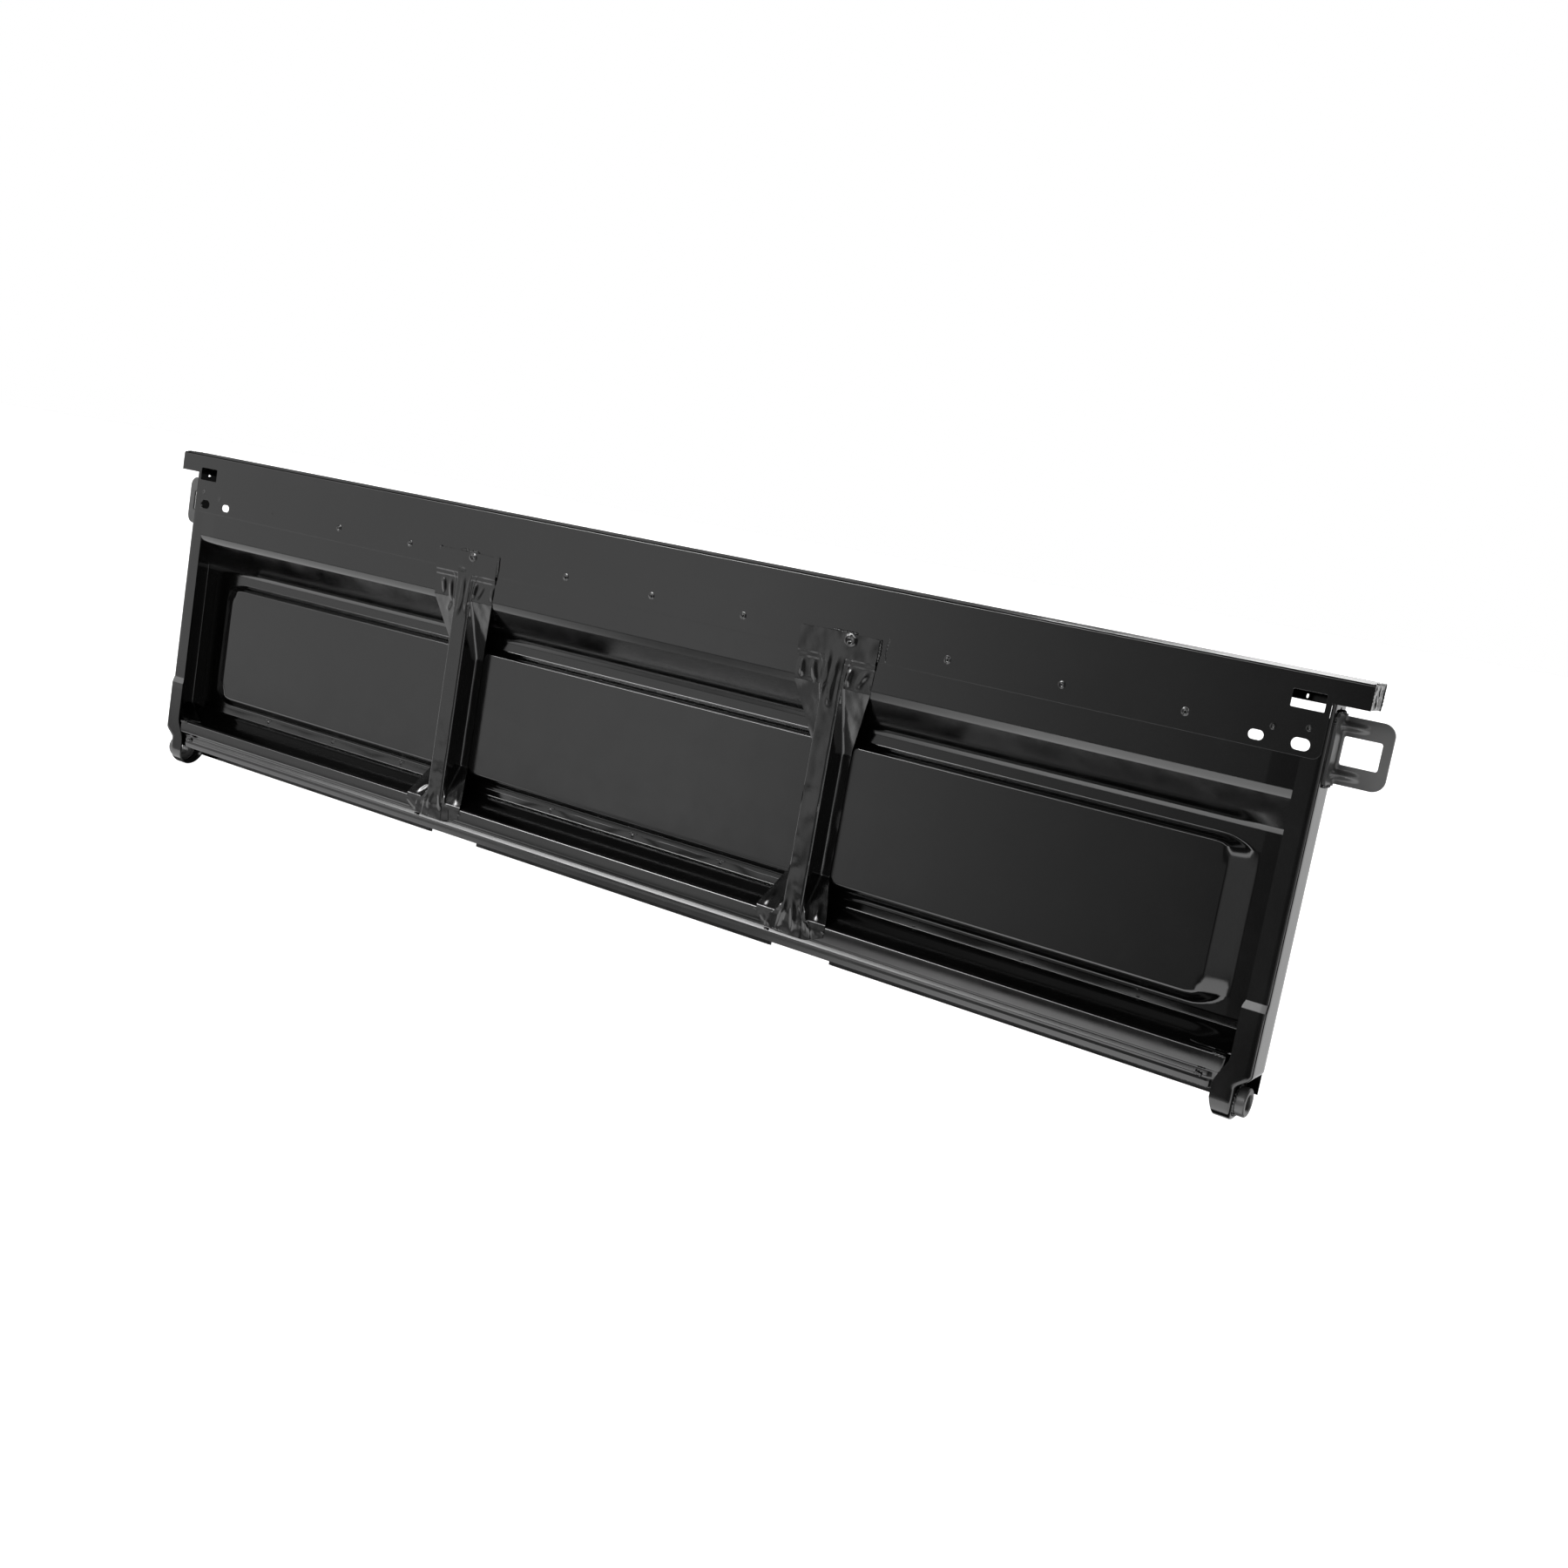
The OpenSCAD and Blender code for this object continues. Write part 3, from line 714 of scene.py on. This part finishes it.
# Draw wrinkles, as (u0, z0, u1, z1, bend, half width, height): u is measured from the brace's
# middle, and bend moves the middle of the ridge sideways
CROWN_FOLDS = {
    LEFT: [(-2, 353, -6, 292, -3.5, 3.8, 1.5), (12, 354, 9, 298, 1.5, 3.2, 1.5),
           (-14, 358, 2, 354, 1, 2.6, 0.6)],
    RIGHT: [(-9, 355, -11, 308, -1.5, 3.4, 1.4), (3, 353, 1, 292, 2, 3.8, 1.5),
            (11, 338, 10, 300, 1, 2.4, 0.9)],
}
POCKET_FOLDS = {
    LEFT: [(-38, 343, -32, 320, -1, 3.2, 1.3), (-24, 344, -18, 314, 0.6, 3, 1.4),
           (20, 343, 17, 321, 1, 2.8, 1.4), (33, 341, 23, 322, 0, 2.4, 0.9),
           (47, 343, 47, 322, 0.5, 2.6, 1.1), (-20, 314, -30, 300, 0, 2.4, 0.9)],
    RIGHT: [(-42, 343, -40, 321, 0, 2.8, 1.2), (-28, 343, -20, 318, 1, 3, 1.3),
            (21, 342, 18, 321, 1, 3, 1.5), (43, 342, 31, 321, 2, 3.2, 1.2),
            (49, 342, 47, 322, 0, 2, 0.7)],
}
FOOT_FOLDS = {
    LEFT: [(0, 80, -7, 52, 1.5, 2.8, 0.8), (9, 78, 15, 54, 1, 2.6, 0.9),
           (-8, 78, -20, 56, -1.2, 2.6, 0.7), (-33, 68, -19, 84, 0, 3, 1.1),
           (-44, 56, -26, 46, 1.5, 3, 0.6), (30, 84, 36, 66, 0, 3, 0.9)],
    RIGHT: [(-9, 82, -14, 48, -1, 2.6, 1.1), (-1, 82, 5, 46, -1.6, 2.8, 1.2),
            (9, 80, 24, 50, -2.2, 2.8, 1.3), (28, 84, 33, 66, 0, 2.8, 1),
            (-40, 58, -24, 46, 1.5, 3.2, 0.6), (-30, 84, -36, 66, 0, 3, 0.9)],
}
# Heights that the folds keep to: above the first, between the pair, and below the last
CROWN_FOLDS_OVER, POCKET, FOOT_FOLDS_UNDER = 286, (318, 346), 96
# Burnt spot in each plate as (u, z, radius), each brace's shift along x, and how dented it is
CRATER = {LEFT: (9, 372, 4.5), RIGHT: (14, 371, 6)}
BRACE_SHIFT = {LEFT: -3.5, RIGHT: -1.5}
CRUMPLE = {LEFT: 0.35, RIGHT: 0.85}


def ridge(u, z, fold):
    """Height of one wrinkle at (u, z)"""
    u0, z0, u1, z1, bow, half, height = fold
    run = Vector((u1 - u0, z1 - z0))
    length = run.length
    along = Vector((u - u0, z - z0)).dot(run) / (length * length)
    if along < -0.1 or along > 1.1:
        return 0.0
    centre = Vector((u0, z0)) + run * along
    side_way = Vector((run.y, -run.x)) / length
    off = (Vector((u, z)) - centre).dot(side_way) - bow * math.sin(math.pi * min(max(along, 0), 1))
    fade = ramp((along + 0.1) / 0.5, 0.4) * ramp((1.1 - along) / 0.5, 0.4)
    return height * fade * math.exp(-(off / half) ** 2)


def brace_dent(side, u, z):
    """How far draw wrinkles and hand welding push the brace's face out, towards -d"""
    out = CRUMPLE[side] * wave(u, z, 19, side * 3 + 11) + 0.12 * wave(u, z, 8, side + 31)
    if z > CROWN_FOLDS_OVER:
        out += sum(ridge(u, z, f) for f in CROWN_FOLDS[side])
        if POCKET[0] < z < POCKET[1] or (z < POCKET[0] + 2 and u < 0):
            out += sum(ridge(u, z, f) for f in POCKET_FOLDS[side])
    if z < FOOT_FOLDS_UNDER:
        out += sum(ridge(u, z, f) for f in FOOT_FOLDS[side])
    cu, cz, cr = CRATER[side]
    far = math.hypot(u - cu, (z - cz) * 1.2) / cr
    if far < 2:
        out += 1.0 * math.exp(-((far - 0.9) / 0.3) ** 2) - 0.9 * math.exp(-(far / 0.6) ** 2)
        out += 0.5 * wave(u, z, 2.5, side + 4) * (1 - far / 2)
    return out


def make_brace(side):
    """Drawn hat section: a wide plate on the band, leaning flares, narrow crown, flanges and foot"""
    name = SIDE_NAME[side] + "_brace"
    plate, strip, field = BRACE_FACE, PANEL_FACE - 1.3, SKIN - FIELD_RISE - 1.4
    foremost = BRACE_FACE - 1.15
    # (z, value) pairs: depth of the flanges, half width over them, half width of the crown, and how
    # far the walls lean out
    flange_depth = [(400, plate), (350.5, plate), (349.5, plate + 0.9), (345, plate + 0.9),
                    (343.5, strip), (SLOPE_TOP, strip), (248, field), (112, field),
                    (64, -1.2), (61, -1.4), (30, -1.4)]
    outer = [(400, 50), (345, 49), (SLOPE_TOP, 48), (250, 25), (113, 25), (66, 45), (60, 45), (30, 44)]
    crown = [(400, 11), (352, 13), (342, CROWN_HALF), (78, CROWN_HALF), (62, 15), (30, 18)]
    lean = [(400, 14), (352, 9), (345, 3.5), (SLOPE_TOP, 1.5), (80, 1.5), (66, 4), (58, 12), (30, 14)]
    crown_depth = [(400, plate), (60, plate), (30, plate + 0.3)]
    bend = 2.6
    arc = spread(0, math.pi / 2, 5)[1:]
    rows = []
    for z in stations((PLATE_TOP, 1.3), (352, 0.7), (342, 1.3), (286, 5), (118, 1.5), (66, 0.8),
                      (59, 1.2), (BRACE_LOW + 1, 1)):
        d_flange, d_crown = through(flange_depth, z), through(crown_depth, z)
        w, top_w = through(outer, z), through(crown, z)
        base_w = top_w + through(lean, z)
        rise = min(bend, max(d_flange - d_crown, 0) / 2)
        half = [(u, d_crown) for u in spread(0, top_w - bend, 12)]
        half += [(top_w - bend + bend * math.sin(a), d_crown + rise * (1 - math.cos(a))) for a in arc]
        half += [(mix(top_w, base_w, t), mix(d_crown + rise, d_flange - rise, t))
                 for t in spread(0, 1, 7)[1:]]
        half += [(base_w + bend * (1 - math.cos(a)), d_flange - rise * (1 - math.sin(a))) for a in arc]
        first = base_w + bend
        half += [(u, d_flange) for u in spread(first, max(w, first + 2), 26)[1:]]
        top_share = max(1 - (PLATE_TOP - z) / 5, 0)
        foot_share = max(1 - (z - BRACE_LOW) / 16, 0)
        row = []
        for u, d in [(-u, d) for u, d in half[:0:-1]] + half:
            on_wall = d_crown + 0.3 < d < d_flange - 0.3
            push = 0 if on_wall else brace_dent(side, u, z)
            ragged = 0.6 * wave(u, z, 6, side + 21)
            x = side * BRACE_X + BRACE_SHIFT[side] + u
            if abs(u) > w - 1.5 and z > SLOPE_TOP:
                x += math.copysign(ragged, u)
            height = z + top_share * (ragged - 0.6 - abs(u) * 0.012)
            height += foot_share * max(abs(u) - 16, 0) ** 1.5 * 0.055
            row.append((x, max(d - push, foremost), height))
        rows.append(row)
    brace = sheet(name + "_sheet", rows, BRACE_T)
    finish_piece(brace, [name], "coated_brace", edge=0.4)


def make_brace_welds(side):
    """Beads over the plate, beside it and under the foot, and four tacks round the foot"""
    name = SIDE_NAME[side] + "_brace_welds"
    middle = side * BRACE_X
    bm = bmesh.new()
    over = {LEFT: (-18, 14), RIGHT: (-12, 20)}[side]
    line = [(middle + u, -0.3, PLATE_TOP + 0.2 + 0.7 * wave(u, 0, 5, 2)) for u in spread(*over, 26)]
    bead(bm, line, 1.5, side + 5, 0.25)
    edge_x = middle + {LEFT: 46.5, RIGHT: 49}[side]
    bead(bm, [(edge_x + wave(z, 0, 6, 3), -0.5, z) for z in spread(354, 378, 22)], 1.3, side + 7, 0.3)
    if side == RIGHT:
        line = [(edge_x + 7.5 + 1.5 * (z - 366) ** 2 / 140, 0.4, z) for z in spread(355, 382, 24)]
        bead(bm, line, 1.4, 31, 0.12)
    else:
        left_x = middle - 50.5
        bead(bm, [(left_x - (z - 375) * 0.1, -0.6, z) for z in spread(374, 379, 8)], 1.4, 33, 0.3)
    under = {LEFT: (-15, 9), RIGHT: (-25, 1)}[side]
    line = [(middle + u, -0.5, BRACE_LOW + 2.2 - u * 0.05 + 0.8 * wave(u, 0, 4, 8))
            for u in spread(*under, 22)]
    bead(bm, line, 1.6, side + 9, 0.3)
    rng = random.Random(side + 40)
    for u, z in [(20, 62.5), (-48, 59), (42, 56), (-30, 41)]:
        tack = [(middle + u + t, -0.9, z + 0.4 * t * rng.uniform(-1, 1)) for t in spread(-2.2, 2.2, 6)]
        bead(bm, tack, 1.3, rng.randint(1, 99), 0.2)
    finish_piece(to_object(name + "_beads", bm), [name], "coated_weld", edge=0)


# ---- Latch loops ----

def make_latch_loop(side):
    """Thick plate bent to an L, with a rectangular eye and a pressed rib across the bend on each arm"""
    name = SIDE_NAME[side] + "_latch_loop"
    base_x = END_X + LOOP_T
    arm_d = LOOP_BACK - LOOP_T
    reach = loop_hi.x
    path = bent([(base_x, LOOP_FRONT), (base_x, arm_d), (reach, arm_d)], [3.5], 8)
    dense = [path[0]]
    for a, b in zip(path, path[1:]):
        dense += [a.lerp(b, t) for t in spread(0, 1, max(1, round((b - a).length / 1.2)))[1:]]
    rib_out, rib_in = 25, 13
    foot, tip = Vector((base_x, arm_d - rib_in)), Vector((base_x + rib_out, arm_d))
    walk = [0.0]
    for a, b in zip(dense, dense[1:]):
        walk.append(walk[-1] + (b - a).length)
    start = walk[min(range(len(dense)), key=lambda i: (dense[i] - foot).length)]
    stop = walk[min(range(len(dense)), key=lambda i: (dense[i] - tip).length)]
    arm_half = LOOP_BASE - 2
    rib_z = (arm_half + EYE[2] / 2) / 2
    rib_half, rib_depth = 5.4, 0.86
    rows = []
    for p, s in zip(dense, walk):
        t = (s - start) / (stop - start)
        row = []
        for h in spread(-LOOP_BASE, LOOP_BASE, 76):
            off = min(abs(h - rib_z), abs(h + rib_z)) / rib_half
            q = p
            if 0 < t < 1 and off < 1:
                q = p.lerp(foot.lerp(tip, t), rib_depth * ramp(1 - off, 0.35))
            row.append((side * q.x, q.y, LOOP_MID + h))
        rows.append(row)
    loop = sheet(name + "_plate", rows, LOOP_T, flip=side < 0)
    behind = LOOP_BACK + 5
    eye = rounded_box(END_X + EYE[0] + EYE[1] / 2, LOOP_MID, EYE[1] / 2, EYE[2] / 2, 2.5)
    cuts = [(mirrored(eye, side), LOOP_BACK - 8, behind, "d")]
    r = 12
    rim = [(base_x + 1, arm_half), (reach - r, arm_half)]
    rim += [(reach - r + r * math.sin(a), arm_half - r + r * math.cos(a))
            for a in spread(0, math.pi / 2, 10)[1:]]
    rim += [(reach + 5, arm_half - r), (reach + 5, LOOP_BASE + 5), (base_x + 1, LOOP_BASE + 5)]
    front_corner = [(LOOP_FRONT - 1, LOOP_BASE - 5), (LOOP_FRONT + 5, LOOP_BASE + 1),
                    (LOOP_FRONT - 1, LOOP_BASE + 1)]
    for up in (-1, 1):
        rim_here = [(side * x, LOOP_MID + up * h) for x, h in rim]
        corner_here = [(d, LOOP_MID + up * h) for d, h in front_corner]
        cuts.append((rim_here, LOOP_FRONT - 2, behind, "d"))
        cuts.append((corner_here, side * (END_X - 1), side * (base_x + 1), "x"))
    cut(loop, cuts)
    finish_piece(loop, [name], "coated_fitting", edge=0.5)


def make_loop_welds(side):
    """Beads over and under the loop's base, and a short one up its front edge"""
    name = SIDE_NAME[side] + "_loop_welds"
    bm = bmesh.new()
    for up in (-1, 1):
        z = LOOP_MID + up * (LOOP_BASE + 0.3)
        line = [(side * (END_X + 1), d, z) for d in spread(LOOP_FRONT + 3, LOOP_BACK - 3, 20)]
        bead(bm, line, 2.2, up + 13, 0.22)
    line = [(side * (END_X + 0.8), LOOP_FRONT + 1.4, LOOP_MID + h) for h in spread(22, 30, 10)]
    bead(bm, line, 1.5, 17, 0.3)
    finish_piece(to_object(name + "_beads", bm), [name], "coated_weld", edge=0)


# ---- Hinge ends ----

def make_hinge_bush(side):
    """Turned bush for the hinge pin, its edges taken off by c"""
    name = SIDE_NAME[side] + "_hinge_bush"
    outer, inner = bush_hi.x, bush_lo.x
    c, small_c = 1.2, 0.6
    outside = [(inner, BUSH_R - small_c), (inner + small_c, BUSH_R), (outer - c, BUSH_R), (outer, BUSH_R - c)]
    bore = [(outer, BORE_R + c), (outer - c, BORE_R), (inner + c, BORE_R)]
    bush = turned(name + "_turned", [(inner, BORE_R + c)] + outside + bore, side)
    finish_piece(bush, [name], "coated_fitting", edge=0.25)


def make_hinge_plate(side):
    """Plate that doubles the round foot from inside, with cut corners at its top"""
    name = SIDE_NAME[side] + "_hinge_plate"
    plate_x = END_X - INSET - FRAME_T - 0.1
    r = FOOT_R - FRAME_T - 0.4
    corner = 3
    outline = [(FOOT_D + r * math.cos(a), FOOT_R + r * math.sin(a)) for a in spread(-math.pi, 0, 30)]
    outline += [(FOOT_D + r, FOOT_R + 5), (FOOT_D + r - corner, FOOT_R + 5 + corner),
                (FOOT_D - r + corner, FOOT_R + 5 + corner), (FOOT_D - r, FOOT_R + 5)]
    bm = bmesh.new()
    prism(bm, outline, side * (plate_x - LOOP_T), side * plate_x, "x")
    plate = to_object(name + "_stamping", bm)
    hole = round_outline(FOOT_D, BUSH_Z, BUSH_R)
    cut(plate, [(hole, side * (plate_x - 9), side * (plate_x + 4), "x")])
    finish_piece(plate, [name], "coated_fitting", edge=0.5)


def make_bush_weld(side):
    """Bead round the bush, on the outer face of the foot"""
    name = SIDE_NAME[side] + "_bush_weld"
    x, r = side * (END_X - INSET + 0.5), BUSH_R + 0.5
    bm = bmesh.new()
    ring = [(x, FOOT_D + r * math.cos(a), BUSH_Z + r * math.sin(a)) for a in spread(0, math.tau, 84)]
    bead(bm, ring, 1.4, side + 23, 0.2)
    finish_piece(to_object(name + "_bead", bm), [name], "coated_weld", edge=0)


# ---- Spot welds and the rail end welds ----

def nugget_profile(size, tall=1.0):
    """(radius, height) pairs of a pressed ring with a dimple, from its rim to its middle"""
    outline = [(4.6, -0.05), (3.8, 0.1), (3.1, 0.55), (2.6, 0.75), (2, 0.6), (1.4, 0.15), (0.7, 0.02)]
    return [(r * size, h * tall) for r, h in outline]


def make_band_spot_welds():
    bm = bmesh.new()
    z = TOP - 61
    for i in SPOT_RANGE:
        nugget = nugget_profile(1, FLAT_SPOTS.get(i, 1))
        lathe_disc(bm, i * SPOT_PITCH + SPOT_SHIFT, 0, z, nugget, i + 8)
    for side in (LEFT, RIGHT):
        lathe_disc(bm, side * (OUTER_SLOT[0] - 28), 0, z + 4, nugget_profile(0.8, 0.3), side + 20)
        lathe_disc(bm, side * (OUTER_SLOT[0] + 5), 0, z + 9, nugget_profile(0.8, 0.3), side + 24)
    finish_piece(to_object("band_spot_weld_nuggets", bm), ["band_spot_welds"], "coated_weld", edge=0)


def make_flange_spot_welds():
    """Nuggets along the bottom rail's upper flange, each under a short bead, and two beads at each
    end of the rail"""
    face, low, rough = SKIN - SILL_T, SILL_TOP - 0.6, 0.35
    bm = bmesh.new()
    for i in SPOT_RANGE:
        x = i * SPOT_PITCH + SPOT_SHIFT
        lathe_disc(bm, x, face, SILL_TOP - 4.5, nugget_profile(0.7), i + 40)
        line = [(x + t, face + 0.6, low + 0.3 * wave(x + t, 0, 3, 2)) for t in spread(-6, 7, 12)]
        bead(bm, line, 1.2, i + 60, 0.3)
    for side in (LEFT, RIGHT):
        line = [(side * x, -0.4 + 0.3 * wave(x, 0, 3, 9), 62.2 - 0.06 * (x - 755))
                for x in spread(752, 766, 14)]
        bead(bm, line, 1.7, side + 80, rough)
        line = [(side * x, 0.9 + 0.4 * wave(x, 0, 3, 4), 38.6 - 0.3 * (x - 742))
                for x in spread(739, 747, 9)]
        bead(bm, line, 2.3, side + 84, rough)
    finish_piece(to_object("flange_spot_weld_nuggets", bm), ["flange_spot_welds"], "coated_weld", edge=0)


def make_rail_end_welds():
    """Beads round three edges of both end caps"""
    radius, ripple = 1.1, 0.25
    bm = bmesh.new()
    for side in (LEFT, RIGHT):
        for d in (1.6, DEPTH - 1.6):
            line = [(side * (HALF - 1), d, z) for z in spread(TOP - LIP_H + 2, TOP - 3, 22)]
            bead(bm, line, radius, side * 3 + int(d), ripple)
        line = [(side * (HALF - 0.6), d, TOP - 1.2) for d in spread(5, DEPTH - 6, 26)]
        bead(bm, line, radius, side + 51, ripple)
    finish_piece(to_object("rail_end_weld_beads", bm), ["rail_end_welds"], "coated_weld", edge=0)


make_top_rail()
make_main_panel()
make_bottom_rail()
make_band_spot_welds()
make_flange_spot_welds()
make_rail_end_welds()
for side in (LEFT, RIGHT):
    make_rail_end(side)
    make_side_channel(side)
    make_corner_gusset(side)
    make_brace(side)
    make_brace_welds(side)
    make_latch_loop(side)
    make_loop_welds(side)
    make_hinge_bush(side)
    make_hinge_plate(side)
    make_bush_weld(side)


# ---- Camera, floor and light ----

CAMERA_AT = (1.2078, -1.605, 0.4923)
CAMERA_AIM = (0.2191, 0.0, 0.1986)
CAMERA_ROLL = 9.95
LENS = 39.65


def make_camera():
    data = bpy.data.cameras.new("camera")
    data.sensor_width = 36
    data.lens = LENS
    camera = bpy.data.objects.new("camera", data)
    bpy.context.scene.collection.objects.link(camera)
    look = Vector(CAMERA_AIM) - Vector(CAMERA_AT)
    turn = look.to_track_quat("-Z", "Y").to_matrix() @ Matrix.Rotation(math.radians(CAMERA_ROLL), 3, "Z")
    camera.matrix_world = Matrix.Translation(CAMERA_AT) @ turn.to_4x4()
    bpy.context.scene.camera = camera


def make_floor():
    """Plain pale floor, left out of the gate's reflections, which the soft surroundings give"""
    bm = bmesh.new()
    bmesh.ops.create_circle(bm, cap_ends=True, radius=30, segments=96)
    floor = to_object("floor", bm)
    material = bpy.data.materials.new("floor")
    material.use_nodes = True
    shader = material.node_tree.nodes["Principled BSDF"]
    shader.inputs["Base Color"].default_value = (0.9, 0.9, 0.9, 1)
    shader.inputs["Roughness"].default_value = 0.9
    shader.inputs["Emission Color"].default_value = (1, 1, 1, 1)
    shader.inputs["Emission Strength"].default_value = 0.9
    floor.data.materials.append(material)
    floor.location.z = -0.001
    floor.visible_glossy = False


def make_light(name, at, aim, size, size_y, power):
    data = bpy.data.lights.new(name, "AREA")
    data.shape = "RECTANGLE"
    data.size, data.size_y, data.energy = size, size_y, power
    lamp = bpy.data.objects.new(name, data)
    bpy.context.scene.collection.objects.link(lamp)
    lamp.location = at
    lamp.rotation_euler = (Vector(aim) - Vector(at)).to_track_quat("-Z", "Y").to_euler()


# Brightness of the studio seen from the gate. These four graphs run from the gate's +x side (0)
# over its middle (0.5) to its -x side (1): the wall in front, the floor before the gate, the softbox
# over the wall, and the backdrop behind the gate.
WALL = [(0.0, 1.0), (0.35, 0.5), (0.5, 0.15), (0.6, 0.1), (0.66, 0.4), (0.7, 0.6), (0.78, 1.3),
        (0.86, 1.1), (1.0, 1.0)]
FLOOR = [(0.0, 2.5), (0.6, 3.0), (0.7, 3.3), (0.76, 0.6), (0.8, 0.5), (0.84, 2.1), (1.0, 1.9)]
SOFTBOX = [(0.0, 2.0), (0.3, 3.5), (0.6, 4.0), (0.7, 10.0), (0.76, 25.0), (0.81, 25.0),
           (0.86, 3.0), (1.0, 1.6)]
BACKDROP = [(0.0, 0.12), (0.2, 0.12), (0.28, 1.15), (0.64, 1.15), (0.69, 0.12), (1.0, 0.12)]
# These say how much of each is seen, turning about the x axis: from behind (0) by straight down
# (0.25), in front (0.5) and straight up (0.75) to behind again (1)
WALL_TURN = [(0.0, 0.0), (0.13, 0.0), (0.16, 0.1), (0.24, 0.1), (0.44, 0.15), (0.452, 0.15),
             (0.46, 1.0), (0.55, 1.0), (0.565, 0.2), (0.66, 0.1), (0.86, 0.1), (0.88, 0.0), (1.0, 0.0)]
FLOOR_TURN = [(0.0, 0.0), (0.25, 0.0), (0.262, 1.0), (0.44, 1.0), (0.447, 0.0), (1.0, 0.0)]
SOFTBOX_TURN = [(0.0, 0.0), (0.55, 0.0), (0.562, 1.0), (0.585, 1.0), (0.597, 0.0), (1.0, 0.0)]
BACKDROP_TURN = [(0.0, 1.0), (0.13, 1.0), (0.16, 0.0), (0.86, 0.0), (0.9, 1.0), (1.0, 1.0)]


def make_surroundings():
    """Studio that the gate reflects: a wall, a floor and a softbox in front and a backdrop behind.
    The camera itself sees plain white."""
    world = bpy.data.worlds.new("studio")
    bpy.context.scene.world = world
    world.use_nodes = True
    tree = world.node_tree
    link = tree.links.new

    def calc(kind, *values):
        node = add_node(tree, "ShaderNodeMath", operation=kind)
        for socket, value in zip(node.inputs, values):
            if isinstance(value, (int, float)):
                socket.default_value = value
            else:
                link(value, socket)
        return node.outputs[0]

    def graph(value, points):
        """Straight-line graph through (place, level) points; its curve is kept between 0 and 1"""
        curve = add_node(tree, "ShaderNodeFloatCurve")
        link(value, curve.inputs["Value"])
        line = curve.mapping.curves[0]
        top = max(level for _, level in points)
        while len(line.points) < len(points):
            line.points.new(0.5, 0.5)
        for point, (at, level) in zip(line.points, points):
            point.location = (at, level / top)
            point.handle_type = "VECTOR"
        curve.mapping.update()
        return calc("MULTIPLY", curve.outputs["Value"], top)

    split = tree.nodes.new("ShaderNodeSeparateXYZ")
    link(tree.nodes.new("ShaderNodeTexCoord").outputs["Generated"], split.inputs[0])
    x, y, z = split.outputs
    across = calc("MULTIPLY_ADD", x, -0.5, 0.5)
    turn = calc("MULTIPLY_ADD", calc("ARCTAN2", z, calc("MULTIPLY", y, -1)), 0.5 / math.pi, 0.5)
    level = calc("MULTIPLY", graph(across, BACKDROP), graph(turn, BACKDROP_TURN))
    for part, part_turn in ((WALL, WALL_TURN), (FLOOR, FLOOR_TURN), (SOFTBOX, SOFTBOX_TURN)):
        level = calc("ADD", level, calc("MULTIPLY", graph(across, part), graph(turn, part_turn)))
    seen = add_node(tree, "ShaderNodeMix", data_type="FLOAT")
    link(tree.nodes.new("ShaderNodeLightPath").outputs["Is Camera Ray"], seen.inputs["Factor"])
    link(level, seen.inputs["A"])
    seen.inputs["B"].default_value = 1.0
    background = tree.nodes["Background"]
    background.inputs["Color"].default_value = (1, 1, 1, 1)
    link(seen.outputs["Result"], background.inputs["Strength"])


make_camera()
make_floor()
make_surroundings()
make_light("back_softbox", (0.4, 2.4, 1.6), (0, 0, 0.2), 2.6, 1.2, 30)
bpy.context.scene.view_settings.view_transform = "Standard"
